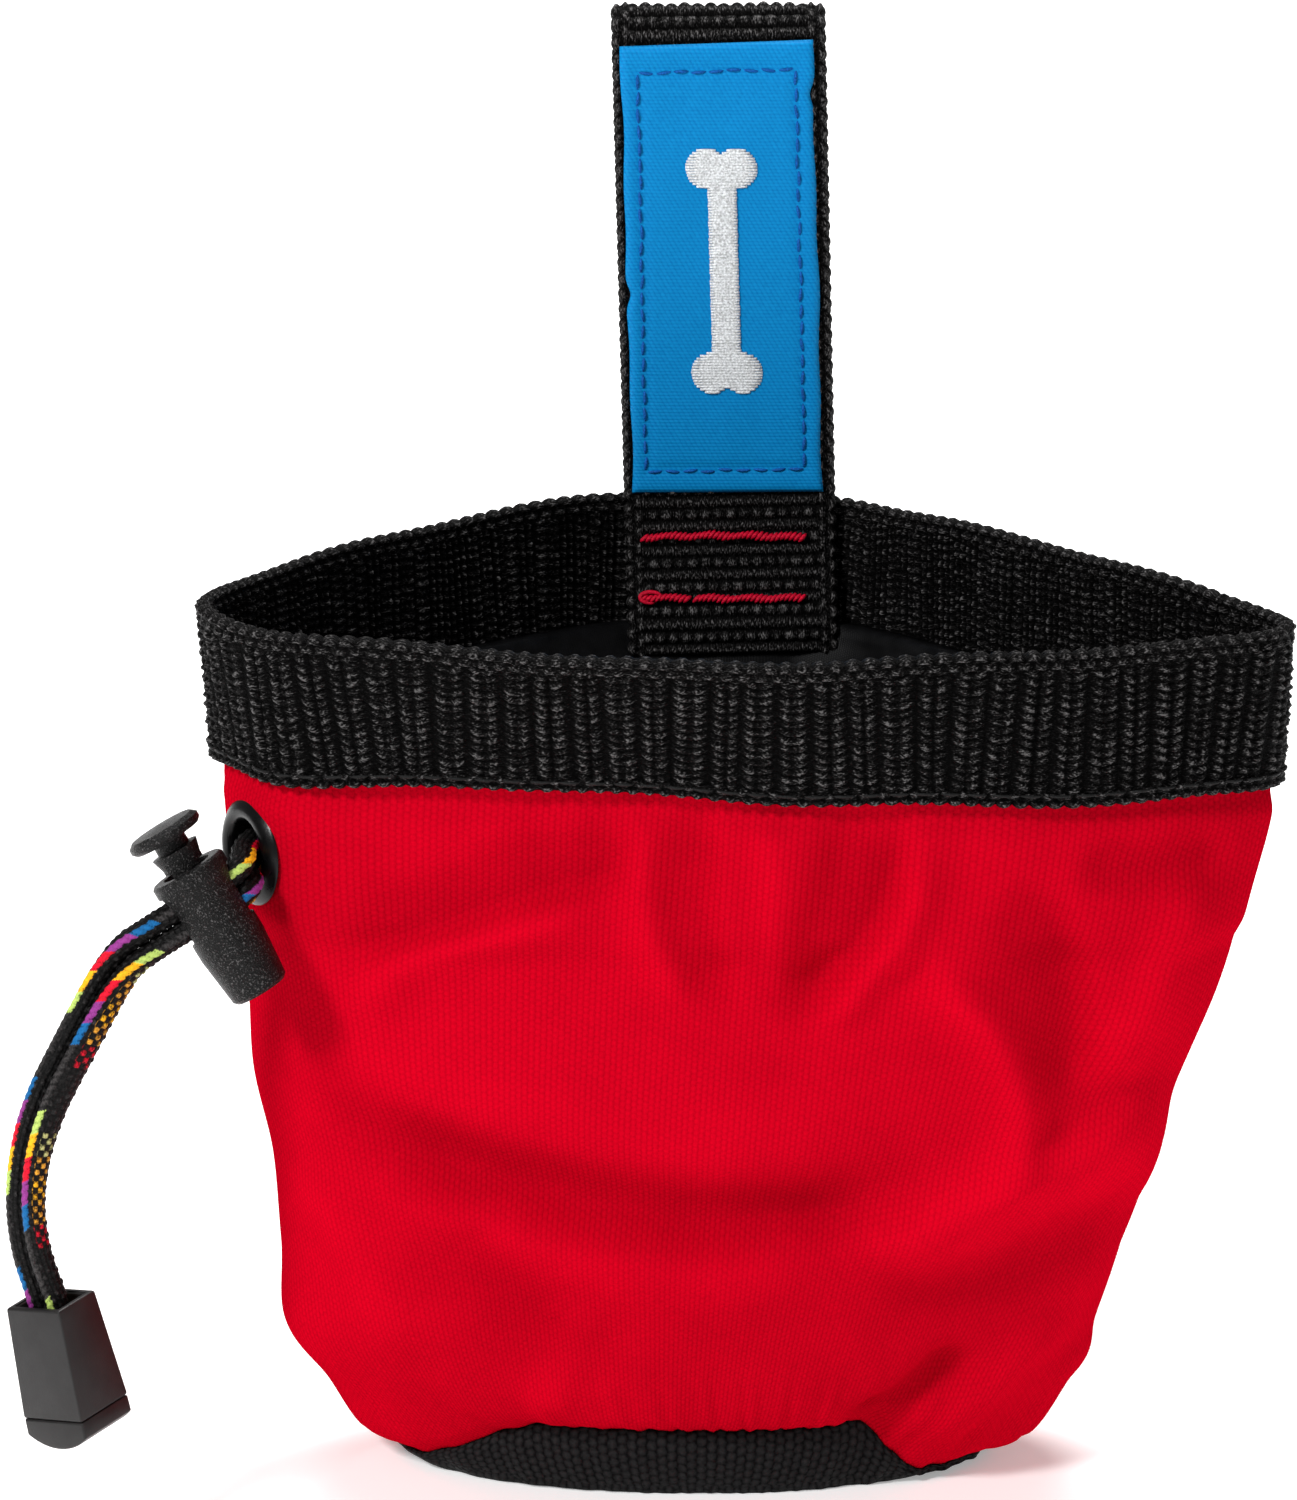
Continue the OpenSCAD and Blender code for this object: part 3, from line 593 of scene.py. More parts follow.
def braid(s, angle, strand):
    """Relief 0 to 1 and yarn number of a braided sleeve, s along it and angle round it."""
    columns = 14
    turn = (angle / (2 * np.pi) * columns) % columns
    row = s / CELL
    c, r = np.floor(turn).astype(int), np.floor(row).astype(int)
    f, g = turn - c, row - r
    over = (c + r) % 2 == 0
    tuft = (np.sin(np.pi * f) * np.sin(np.pi * g)) ** 0.5
    size = 0.8 + 0.2 * jitter((900, columns), 17)[r % 900, c]
    relief = tuft * np.where(over, 0.85, 0.4) * size

    fleck_phase = (s - strand["fleck_start"]) % TRACER_PERIOD
    order = [YARNS[n + "_yarn"] for n in ("cream", "orange", "yellow", "orange", "red")]
    fleck = np.select([fleck_phase < TRACER_STEP * (k + 1) for k in range(5)], order, 0)
    to_fleck = (angle - strand["fleck_angle"] + np.pi) % (2 * np.pi) - np.pi
    flecks = over & (np.abs(to_fleck) < 0.62) & (tuft > 0.22)
    yarn = np.where(flecks, fleck, 0)

    side = ((angle - strand["angle"] + np.pi) % (2 * np.pi) - np.pi) * CORD_D / 2 / 0.66
    lobe = s / (TRACER_STEP / 3) + 0.45 * side
    lobe_number = np.floor(lobe - strand["start"] / (TRACER_STEP / 3))
    cycle = round(TRACER_PERIOD / (TRACER_STEP / 3))
    order = [YARNS[n + "_yarn"] for n in strand["order"]]
    colour = np.select([lobe_number % cycle < 3 * (k + 1) for k in range(5)], order, 0)
    width = 0.72 + 0.28 * beads(lobe, 0.8)
    stripe = np.abs(side) < width
    raised = (0.35 + 0.75 * np.sqrt(np.clip(1 - (side / width) ** 2, 0, 1))
              * (0.3 + 0.7 * beads(lobe, 0.6)))
    relief = np.where(stripe, raised, relief)
    yarn = np.where(stripe, colour, yarn)
    return relief, yarn


def make_strand(name, node, side, materials, strand):
    around = 84
    rows = np.array([[*p, *unit(d)] for p, d in CORD_ROUTE])
    rows[:, :3] += side * (STRAND_OFFSET - 0.12) * rows[:, 3:]
    line = catmull(rows, 16)
    total = path_length(line)[-1]
    line = resample(line, int(total / 0.16))
    centre, thick = line[:, :3], line[:, 3:]
    s = path_length(centre)
    tangent = unit(np.gradient(centre, axis=0))
    thick = unit(thick - (thick * tangent).sum(1, keepdims=True) * tangent)
    wide = np.cross(tangent, thick)
    swell = smoothstep(LOCK_EXIT_S, LOCK_EXIT_S + 10, s) * smoothstep(total - 16, total - 38, s)
    half_w = 1.33 + 0.48 * swell
    half_t = np.full(len(s), 1.22)
    angle = 2 * np.pi * np.arange(around) / around
    depth, _ = braid(s[:, None], angle[None], strand)
    end = smoothstep(0, 0.8, s) * smoothstep(total, total - 0.8, s)
    relief = BRAID_DEPTH * depth * end[:, None]
    x = (half_w[:, None] + relief) * np.cos(angle)[None]
    y = (half_t[:, None] + relief) * np.sin(angle)[None]
    points = centre[:, None] + wide[:, None] * x[..., None] + thick[:, None] * y[..., None]
    quads, corners = grid_faces(len(s), around, close_columns=True)
    middle_s = s[corners[0][:, [0, 2]]].mean(1)
    middle_angle = 2 * np.pi * (corners[1][:, 0] + 0.5) / around
    _, yarn = braid(middle_s, middle_angle, strand)
    caps = [np.arange(around)[None, ::-1], ((len(s) - 1) * around + np.arange(around))[None]]
    piece = make_piece(name, points.reshape(-1, 3), [quads, *caps], materials,
                       face_material=np.concatenate([yarn, [0, 0]]), relief=depth)
    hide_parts(node)
    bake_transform(piece)
    path = centre[::5]
    return piece, path * MM, path_length(path)[-1] * MM


def make_cords():
    materials = [thread_material(n, c, braided=True) for n, c in YARN_COLOURS.items()]
    front = dict(start=23.7, order=("lime", "yellow", "red", "purple", "blue"),
                 angle=math.radians(188), fleck_angle=math.radians(262), fleck_start=26.0)
    rear = dict(start=22.5, order=("blue", "purple", "red", "yellow", "lime"),
                angle=math.radians(165), fleck_angle=math.radians(330), fleck_start=70.0)
    for name, node, side, strand in (
            ("drawcord_braid_front", "drawcord_strand_front", -1, front),
            ("drawcord_braid_rear", "drawcord_strand_rear", 1, rear)):
        piece, path, length = make_strand(name, node, side, materials, strand)
        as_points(path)


# ---------------------------------------------------------------- rings taken from the frame
def tree_of(node):
    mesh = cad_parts[node].data
    return BVHTree.FromPolygons([v.co for v in mesh.vertices],
                                [p.vertices for p in mesh.polygons])


def outer_ring(tree, centre, z, angles):
    """Plan points in mm of a node's outer face at a height, one for each angle about centre."""
    far = 200.0
    radius = np.full(len(angles), np.nan)
    for k, a in enumerate(angles):
        out = np.array([math.cos(a), math.sin(a), 0])
        start = np.array([centre[0], centre[1], z]) + far * out
        _, _, _, distance = tree.ray_cast(Vector(start * MM), Vector(-out), far * MM)
        if distance is not None:
            radius[k] = far - distance / MM
    typical = np.nanmedian(np.stack([np.roll(radius, k) for k in range(-40, 41, 8)]), axis=0)
    bad = np.isnan(radius) | (radius < typical - 6)
    radius[bad] = np.interp(angles[bad], angles[~bad], radius[~bad], period=2 * np.pi)
    return radius


# ---------------------------------------------------------------- rim band
def band_relief(s, v, face, total):
    """Ribs of slanted floats, leaning to and fro in turn; behind, narrow ribs of short floats."""
    columns = 2 * round(total / RIB / 2)
    wander = 0.08 * np.sin(2 * np.pi * s / total * 23) + 0.07 * np.sin(2 * np.pi * s / total * 41)
    column = s / total * columns + wander
    if face < 0:
        column = column * 2
    c = np.floor(column).astype(int) % (columns * 2)
    x = column - np.floor(column)
    lean = np.where(c % 2 == 0, 1.0, -1.0) * (0.8 if face > 0 else 0.3)
    pair_shift = 0.35 * jitter(columns, 3)[c // 2]
    phase = v / FLOAT + lean * (x - 0.5) + pair_shift
    size = 1 + 0.25 * jitter((columns * 2, 64), 5)[c, np.floor(phase).astype(int) % 64]
    skew = np.where(c % 2 == 0, x ** 1.25, 1 - (1 - x) ** 1.25)
    ribs = np.sin(np.pi * skew) ** 0.8
    body = ribs * (0.08 + 0.92 * beads(phase, 0.85)) * size
    edge = BAND_W / 2 - np.abs(v)
    knots = beads(s / total * columns + 0.5 * np.floor(edge + 0.1), 0.8)
    selvedge = (0.1 + 0.9 * knots) * (0.2 + 0.8 * beads(edge / 1.05, 0.7))
    blend = smoothstep(1.9, 2.3, edge + 0.3 * jitter(columns * 2, 12)[c])
    return np.clip(blend * body + (1 - blend) * selvedge, 0, 1.25)


def make_band(material):
    tree = tree_of("rim_band")
    angles = np.linspace(0, 2 * np.pi, RING_SAMPLES, endpoint=False)
    centre = (0.0, -9.0)
    direction = np.stack([np.cos(angles), np.sin(angles)], axis=1)
    high_z, low_z, rim_z = 109.3, 96.0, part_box("rim_band")[1].z / MM
    rings = []
    for z in (high_z, low_z):
        plan = np.array(centre) + outer_ring(tree, centre, z, angles)[:, None] * direction
        rings.append(np.column_stack([plan, np.full(len(plan), z)]))
    high, low = (blur_ring(r, 3.0) for r in rings)
    down = unit(low - high)
    top = high + down * ((rim_z - high[:, 2]) / down[:, 2])[:, None]
    arc = path_length(top + down * BAND_W / 2, closed=True)[:-1]
    top[:, 2] += 0.35 * np.sin(2 * np.pi * arc / 83) + 0.2 * np.sin(2 * np.pi * arc / 31) - 0.4
    bottom = top + down * BAND_W
    middle = (top + bottom) / 2
    both = np.column_stack([middle, unit(top - bottom)])
    total = path_length(middle, closed=True)[-1]
    count = int(round(total / RIB)) * 4
    both = resample(both, count, closed=True)
    middle, across = both[:, :3], unit(both[:, 3:])
    tangent = unit(np.roll(middle, -1, axis=0) - np.roll(middle, 1, axis=0))
    across = unit(across - (across * tangent).sum(1, keepdims=True) * tangent)
    normal = unit(np.cross(tangent, across))
    middle = middle - normal * (BAND_T / 2)
    length = path_length(middle, closed=True)[-1]
    points, faces, uv, depth = ribbon(
        middle, across, normal, BAND_W, BAND_T - WEBBING_SKIN, 72,
        lambda s, v, face: band_relief(s, v, face, length), length / round(length / RIB), True)
    band = make_piece("rim_webbing", points, faces, [material], uv=uv, flip=True, relief=depth)
    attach(band, "pouch")
    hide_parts("rim_band")
    return middle, across, normal


def make_band_stitches(middle, across, normal, material):
    """Two rows of thread, one along each face, 1.6 mm above the band's lower edge."""
    pitch, length = 3.1, 2.3
    total = path_length(middle, closed=True)[-1]
    count = int(total / pitch)
    frame_rows = np.column_stack([middle, across, normal])
    rows = resample(frame_rows, count * 4, closed=True)
    lines = []
    for face in (1, -1):
        place = (rows[:, :3] - rows[:, 3:6] * (BAND_W / 2 - 1.7)
                 + face * rows[:, 6:9] * (BAND_T / 2 - 0.02))
        starts, ends = place[0::4], place[3::4]
        lines.append(stitch_lines(starts, ends, face * rows[1::4, 6:9], 0.22))
    lines = np.concatenate(lines)
    ups = np.concatenate([rows[1::4, 6:9], -rows[1::4, 6:9]])[:, None] * np.ones((1, 9, 1))
    points, faces = tubes(lines, thread_radii(9, 0.19), 8, ups=ups)
    piece = make_piece("band_thread", points, faces, [material])
    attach(piece, "pouch")
    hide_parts("band_stitching")


# ---------------------------------------------------------------- shell and lining
# Each fold: its line of [x, z] points, its width on the left and on the right of the line's
# direction, and its height, all in mm; a negative height is a groove
FRONT_FOLDS = [
    ([[-51, 56], [-44.8, 50], [-39.6, 46.2], [-30.3, 42.8], [-19.9, 39.8], [-9.5, 38.2],
      [0.8, 38.2], [11.2, 39.6], [21.6, 41.2], [27, 43]], 7.0, 3.4, -2.2),
    ([[-50, 64], [-41, 55.5], [-30, 51.5], [-15, 48.5], [0, 47], [14, 48.5], [25, 52]],
     8.0, 5.0, 0.9),
    ([[-46, 42], [-38, 38.5], [-25, 35.5], [-10, 32.5], [2, 32.5], [12, 34]], 3.5, 6.0, 0.9),
    ([[10, 33], [20, 38.5], [28, 42], [38, 46], [51, 54]], 3.0, 9.0, 2.0),
    ([[12, 24], [26, 29], [38, 34], [48, 40]], 6.0, 5.0, -1.2),
    ([[19, 74], [24.5, 68], [29.2, 62], [31.8, 54.5], [31.0, 46], [25, 40]], 2.8, 3.4, 1.5),
    ([[17.5, 92], [15.5, 82], [12.5, 75.5], [9.1, 70], [4.5, 63]], 2.2, 6.5, -2.0),
    ([[21, 88], [18, 77], [13, 70], [8, 63]], 2.8, 2.4, 1.3),
    ([[3, 92], [3.8, 80], [4.2, 66]], 3.5, 2.2, 0.9),
    ([[-5, 92], [-5.2, 82], [-4.5, 74], [-1, 65]], 2.0, 4.5, -1.3),
    ([[-12, 92], [-11.5, 82], [-10, 74], [-5, 64]], 2.4, 2.6, 0.9),
    ([[-48, 70], [-41, 73.5], [-35.5, 75.5], [-26.1, 79.5], [-16.8, 82.8], [-10, 90]],
     5.0, 2.2, -1.9),
    ([[-45, 60], [-42, 68], [-37, 72], [-26, 76], [-14, 79.5]], 2.4, 3.6, 1.2),
    ([[30, 83], [35, 75], [37.5, 68], [38.2, 60], [37, 52]], 2.5, 6.0, -1.6),
    ([[37, 84], [46, 82.5], [56, 84]], 3.5, 2.5, -1.0),
    ([[52, 84], [47, 66], [40, 52]], 3.6, 3.6, 1.1),
    ([[-52, 44], [-44, 30], [-38, 16]], 4.0, 4.0, 0.9),
    ([[-36, 40], [-27, 28], [-15, 15]], 5.0, 5.0, -1.1),
    ([[11, 9], [19, 13], [27, 21]], 2.2, 2.6, -1.6),
    ([[19, 6], [28, 12], [38, 24]], 3.0, 3.0, 1.0),
    ([[-25, 10], [-20, 19], [-19, 29]], 3.0, 3.0, 0.9)]
BACK_FOLDS = [
    ([[-42, 67], [-20, 55], [0, 50], [22, 54], [40, 65]], 4.5, 4.5, 2.0),
    ([[-40, 58], [-20, 46], [0, 41], [20, 45], [36, 55]], 4.5, 4.5, -1.8),
    ([[-24, 92], [-20, 76], [-9, 61]], 2.8, 2.8, 1.7),
    ([[18, 92], [15, 76], [4, 63]], 2.8, 2.8, 1.6),
    ([[0, 90], [-2, 73]], 3.2, 3.2, -1.3),
    ([[-38, 39], [-22, 26], [-4, 19]], 4.5, 4.5, 1.4),
    ([[32, 41], [18, 28], [3, 21]], 4.0, 4.0, -1.6)]
CORD_TUNNEL_GROOVE = -0.5
CORD_TUNNEL_LIFT = 1.1
SAG_LEFT, SAG_RIGHT = 1.6, 2.7


def stroke(x, z, points, left, right, height):
    """A soft ridge or groove along a line of [x, z] points, fading out at both ends."""
    line = resample(catmull(points, 8), 24)
    nearest = np.full(x.shape, 1e9)
    along = np.zeros(x.shape)
    side = np.zeros(x.shape)
    for k, (start, end) in enumerate(zip(line[:-1], line[1:])):
        step = end - start
        t = np.clip(((x - start[0]) * step[0] + (z - start[1]) * step[1]) / (step @ step), 0, 1)
        dx = x - start[0] - t * step[0]
        dz = z - start[1] - t * step[1]
        closer = dx ** 2 + dz ** 2 < nearest
        nearest = np.where(closer, dx ** 2 + dz ** 2, nearest)
        along = np.where(closer, (k + t) / (len(line) - 1), along)
        side = np.where(closer, step[0] * dz - step[1] * dx, side)
    width = np.where(side > 0, left, right)
    ends = smoothstep(0, 0.25, along) * smoothstep(1, 0.75, along)
    return height * ends * np.exp(-nearest / width ** 2)


def shell_grid():
    """Outer surface of the shell before its folds: points and their height, in mm."""
    tree = tree_of("shell_body")
    columns, rows = 420, 170
    levels = [93.8, 91.0, 86.0, 76.0, 64.0, 52.0, 40.0, 28.0, 18.0, 11.2]
    low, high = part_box("shell_base")
    seam_mid = np.array([low.x + high.x, low.y + high.y]) / 2 / MM
    seam_half = np.array([high.x - low.x, high.y - low.y]) / 2 / MM
    seam_high = high.z / MM
    mouth_mid = np.array([0.0, -3.0])

    def centre_at(z):
        return seam_mid + (mouth_mid - seam_mid) * min(z / 90.0, 1.0)

    dense = np.linspace(0, 2 * np.pi, RING_SAMPLES, endpoint=False)
    turn = np.stack([np.cos(dense), np.sin(dense)], axis=1)
    rings = []
    for z in levels:
        radius = blur_ring(outer_ring(tree, centre_at(z), z, dense), 1.5)
        rings.append(np.column_stack([centre_at(z) + radius[:, None] * turn,
                                      np.full(RING_SAMPLES, z)]))
    radius = 1 / np.sqrt((turn[:, 0] / seam_half[0]) ** 2 + (turn[:, 1] / seam_half[1]) ** 2)
    seam = seam_mid + radius[:, None] * turn
    round_rise = (radius * turn[:, 1] / seam_half[1]) ** 2
    front_rise = smoothstep(-41.5, -23, seam[:, 0]) * smoothstep(22, 13, seam[:, 0])
    rise = np.where(turn[:, 1] < 0, front_rise, round_rise)
    rings.append(np.column_stack([seam, SEAM_LOW + (seam_high - SEAM_LOW) * rise]))
    rings = np.array(rings)
    arc = path_length(rings[4], closed=True)
    sample = np.arange(RING_SAMPLES + 1)
    pick = np.interp(np.linspace(0, arc[-1], columns, endpoint=False), arc, sample)
    rings = np.stack([[np.interp(pick, sample, np.append(r[:, k], r[0, k]))
                       for k in range(3)] for r in rings]).transpose(0, 2, 1)
    curves = np.array([resample(catmull(rings[:, c], 12), rows) for c in range(columns)])
    return curves.transpose(1, 0, 2)


def outward_normals(points):
    """Normals of a grid of points whose rows are closed rings, pointing away from its middle."""
    along = np.gradient(points, axis=0)
    around = np.roll(points, -1, axis=1) - np.roll(points, 1, axis=1)
    normal = unit(np.cross(along, around))
    return -normal if (normal * (points - points.mean((0, 1)))).sum() < 0 else normal


def fold_heights(points):
    """How far each point of the shell is moved outward, the normals, and the folds alone."""
    x, y, z = points[..., 0], points[..., 1], points[..., 2]
    normal = outward_normals(points)
    front = smoothstep(0.15, 0.5, -normal[..., 1])
    back = smoothstep(0.15, 0.5, normal[..., 1])
    total = np.zeros(x.shape)
    for fold in FRONT_FOLDS:
        total += FOLD_DEPTH * front * stroke(x, z, *fold)
    for fold in BACK_FOLDS:
        total += back * stroke(x, z, *fold)
    crease = total.copy()
    around = np.arctan2(y + 3, x)
    pleats = (np.sin(23 * around + 1.1) + 0.6 * np.sin(37 * around + 0.4)
              + 0.5 * np.sin(11 * around))
    tunnel = smoothstep(*TUNNEL_LOW, z) * smoothstep(*TUNNEL_HIGH[::-1], z)
    padded = CORD_TUNNEL_GROOVE + 0.4 * np.logaddexp(
        0, (total + CORD_TUNNEL_LIFT * (front + back) - CORD_TUNNEL_GROOVE) / 0.4)
    total = total * (1 - tunnel) + padded * tunnel
    total += 0.16 * pleats * smoothstep(70, 90, z)
    total += 0.30 * waves(around * 45, z, 21) * smoothstep(3, 20, z)
    puckers = np.sin(41 * around) + 0.7 * np.sin(67 * around + 2)
    total += 0.13 * puckers * smoothstep(22, 9, z)
    total *= smoothstep(94, 88, z)
    seam = points[-1:, :, 2]
    sideways = smoothstep(0.3, 0.8, np.abs(normal[..., 0]))
    sag = np.where(x < 0, SAG_LEFT, SAG_RIGHT) * sideways
    total += sag * smoothstep(0, 3.5, z - seam) * smoothstep(10.5, 4.5, z)
    total -= 0.55 * smoothstep(1.8, 0.0, z - seam)
    return total, normal, crease


def grid_uv(points, corners):
    """UV map in millimetres: round the ring at its middle height, and down each column."""
    middle = points[len(points) // 2]
    u = path_length(middle, closed=True)
    down = np.linalg.norm(np.diff(points, axis=0), axis=2).mean(1)
    v = np.concatenate([[0], np.cumsum(down)])
    return np.stack([u[corners[1]], v[corners[0] % len(points)]], axis=-1)


def solidify(piece, thickness):
    modifier = piece.modifiers.new("thickness", "SOLIDIFY")
    modifier.thickness = thickness * MM
    modifier.offset = -1
    modifier.use_even_offset = False


def make_shell(material, eyelet_place, eyelet_axis):
    points = shell_grid()
    lift, normal, crease = fold_heights(points)
    points = points + normal * lift[..., None]
    rows, columns = points.shape[:2]
    quads, corners = grid_faces(rows, columns, close_columns=True)
    uv = grid_uv(points, corners)
    middle = points.reshape(-1, 3)[quads].mean(1)
    away = middle - eyelet_place
    depth = away @ eyelet_axis
    off_axis = np.linalg.norm(away - depth[:, None] * eyelet_axis, axis=1)
    keep = (off_axis > EYELET_HOLE + 0.75) | (np.abs(depth) > 8)
    used = np.unique(quads[keep])
    renumber = np.zeros(rows * columns, int)
    renumber[used] = np.arange(len(used))
    # The relief attribute carries the folds' heights for the painted shade and painted light in the
    # red cloth's colour.
    shell = make_piece("shell_fabric", points.reshape(-1, 3)[used], [renumber[quads[keep]]],
                       [material], uv=[uv[keep]], flip=True,
                       relief=np.clip(0.5 + crease.reshape(-1)[used] / 6, 0, 1))
    solidify(shell, SHELL_T)
    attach(shell, "pouch")
    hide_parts("shell_body")
    return points


def ring_frame(ring):
    """Middle of a plan ring and the level directions from its points to that middle."""
    middle = (ring[:, :2].min(axis=0) + ring[:, :2].max(axis=0)) / 2
    return middle, unit(np.column_stack([middle - ring[:, :2], np.zeros(len(ring))]))


def close_ring(ring, count, sag):
    """Rings from a ring in to its middle, for a bottom panel."""
    middle, _ = ring_frame(ring)
    rings = []
    for t in np.linspace(0, 1, count)[1:-1]:
        inner = ring.copy()
        inner[:, :2] = ring[:, :2] * (1 - t) + middle * t
        inner[:, 2] += sag * math.sin(math.pi * min(1, 1.6 * t))
        rings.append(inner)
    return rings


def base_rings(seam):
    """Outer surface of the base from the seam down to the ground."""
    _, inward = ring_frame(seam)
    start = seam - [0, 0, 0.05]
    foot = seam + inward * 2.2
    foot[:, 2] = 0.0
    rings = [start]
    for t in np.linspace(0, 1, 16)[1:]:
        bulge = 0.55 * math.sin(math.pi * min(1, 3.2 * t) / 2) * (1 - t)
        ring = start * (1 - t) + foot * t
        bend = t ** 2.2
        ring[:, :2] = start[:, :2] * (1 - bend) + foot[:, :2] * bend - bulge * inward[:, :2]
        rings.append(ring)
    return rings


def fabric_piece(name, node, points, material, thickness, closed_end=False):
    """A ring-shaped cloth on the pouch, with its last ring filled in when closed_end is set."""
    rows, columns = points.shape[:2]
    quads, corners = grid_faces(rows, columns, close_columns=True)
    faces, uv = [quads], [grid_uv(points, corners)]
    if closed_end:
        cap = ((rows - 1) * columns + np.arange(columns))[None, ::-1]
        flat = points.reshape(-1, 3)
        floor = flat[quads][..., 2].max(axis=1) < flat[cap[0, 0], 2] + 1.5
        uv[0][floor] = flat[quads][floor][..., :2]
        faces.append(cap)
        uv.append(flat[cap][..., :2])
    piece = make_piece(name, points.reshape(-1, 3), faces, [material], uv=uv, flip=True)
    solidify(piece, thickness)
    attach(piece, "pouch")
    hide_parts(node)


def make_base(shell_points, material):
    side = base_rings(shell_points[-1])
    points = np.array(side + close_ring(side[-1], 22, 0.3))
    creases = waves(points[..., 0], points[..., 1], 44, longest=40, shortest=8)
    points[1:, :, 2] += 0.12 * (1 + creases[1:])
    points[..., 2] = np.maximum(points[..., 2], 0.0)
    fabric_piece("base_fabric", "shell_base", points, material, SHELL_T, True)
    return side


def make_linings(shell_points, base_side, material):
    """The lining hangs inside the shell and base, with room for the drawcord at its top."""
    outer = np.concatenate([shell_points, base_side[2:]])[::2, ::2]
    normal = outward_normals(outer)
    x, y, z = outer[..., 0], outer[..., 1], outer[..., 2]
    inset = 1.8 + 2.8 * smoothstep(66, 77, z) * smoothstep(93, 88, z)
    around = np.arctan2(y + 3, x)
    wrinkles = 1 + waves(around * 40, z, 33, longest=45, shortest=9)
    inset = inset + 0.5 * wrinkles * smoothstep(94, 84, z)
    inner = outer - normal * inset[..., None]
    wall = inner[:np.argmax(inner[:, 0, 2] < 14) + 1]
    floor = list(inner[len(wall) - 1:])
    floor += close_ring(floor[-1], 20, 0.4)
    hem = [outer[0] - normal[0] * reach + [0, 0, HEM_RISE] for reach in HEM_REACH]
    wall = np.concatenate([hem, wall])
    fabric_piece("lining_fabric", "lining_wall", wall, material, LINING_T)
    fabric_piece("lining_floor", "lining_base", np.array(floor), material,
                 LINING_T, True)


# ---------------------------------------------------------------- belt loop
def strap_frame(length_step):
    """Centre, across and outward direction along the strap, from its inner tail's end up the
    front leg, over the top and down the back leg to its outer tail's end."""
    loop_low, loop_high = (np.array(c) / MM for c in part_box("belt_loop_strap"))
    inner_low, _ = (np.array(c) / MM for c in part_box("strap_tail_inner"))
    outer_low, _ = (np.array(c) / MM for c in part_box("strap_tail_outer"))
    half = STRAP_T / 2
    front, back, top = loop_low[1] + half, loop_high[1] - half, loop_high[2] - half
    inner, outer = inner_low[1] + half, outer_low[1] + half
    side_view = [
        [inner, inner_low[2]], [inner + 0.2, inner_low[2] + 4], [inner + 1.5, 98.5],
        [front - 0.6, 104], [front - 0.1, 110], [front + 0.2, 122], [front + 0.5, 134],
        [front + 0.7, 146], [front + 0.8, 157], [front + 0.9, 163],
        [front + 1.7, top - 1.9], [(front + back) / 2 + 0.4, top], [back - 0.9, top - 1.9],
        [back - 0.1, 163], [back, 155], [back, 144], [back - 0.2, 132], [back - 1.1, 120],
        [back - 2.4, 110], [outer + 0.7, 100.5], [outer, outer_low[2]]]
    line = catmull(side_view, 12)
    line = np.column_stack([np.zeros(len(line)), line])
    count = int(path_length(line)[-1] / length_step)
    line = resample(line, count)
    middle_x = (loop_low[0] + loop_high[0]) / 2
    line[:, 0] = middle_x + 0.9 - 0.026 * (line[:, 2] - 104)
    tangent = unit(np.gradient(line, axis=0))
    across = np.broadcast_to([1.0, 0, 0], line.shape)
    across = unit(across - (across * tangent).sum(1, keepdims=True) * tangent)
    normal = unit(np.cross(across, tangent))
    return line, across, normal


def strap_relief(s, v, face):
    row = s / STRAP_ROW
    r = np.floor(row).astype(int)
    y = row - r
    ridge = np.sin(np.pi * y) ** 0.6
    dotted = r % 2 == 1
    wander = 0.12 * jitter(400, 8)[r % 400]
    phase = v / STRAP_FLOAT + 0.5 * (r // 2 % 2) + wander
    size = 1 + 0.2 * jitter((400, 40), 9)[r % 400, np.floor(phase).astype(int) % 40]
    dots = (0.1 + 0.9 * beads(phase, 0.6)) * size
    bar = 0.5 + 0.4 * beads(2 * phase + 0.25 + 0.8 * y, 0.7)
    body = ridge * np.where(dotted, dots, bar)
    edge = STRAP_W / 2 - np.abs(v)
    selvedge = 0.15 + 0.85 * beads(s / STRAP_SELVEDGE + 0.5 * (edge > 1.0), 0.6)
    selvedge = selvedge * beads(edge / 1.05, 0.6)
    blend = smoothstep(1.7, 2.3, edge)
    return blend * body + (1 - blend) * selvedge


def blend_with_loop(piece):
    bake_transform(piece)


def make_strap(material):
    centre, across, normal = strap_frame(0.3)
    points, faces, uv, depth = ribbon(centre, across, normal, STRAP_W, STRAP_T - WEBBING_SKIN,
                                      100, strap_relief, STRAP_SELVEDGE, False)
    strap = make_piece("belt_strap_webbing", points, faces, [material], uv=uv, flip=True,
                       relief=depth)
    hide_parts("strap_tail_inner", "strap_tail_outer", "belt_loop_strap")
    blend_with_loop(strap)
    return centre, across, normal


def on_strap(strap, z, x, lift):
    """Points on the front leg's outer face at heights z and sideways places x, lifted by lift."""
    centre, across, normal = strap
    front = np.arange(len(centre)) <= np.argmax(centre[:, 2])
    rows = np.column_stack([centre, across, normal])[front]
    z = np.asarray(z, float)
    at = np.stack([np.interp(z, rows[:, 2], rows[:, k]) for k in range(9)], axis=-1)
    return (at[..., :3] * [0, 1, 1] + [1, 0, 0] * np.asarray(x, float)[..., None]
            + at[..., 6:9] * (STRAP_T / 2 + np.asarray(lift, float))[..., None])


LABEL_CORNERS = [[-12.9, 110.5], [10.1, 110.7], [8.6, 165.7], [-14.4, 165.0]]
LABEL_SIZE = 23, 55
STITCH_CORNERS = [[-11.3, 113.3], [7.9, 113.6], [6.5, 162.4], [-12.3, 162.0]]


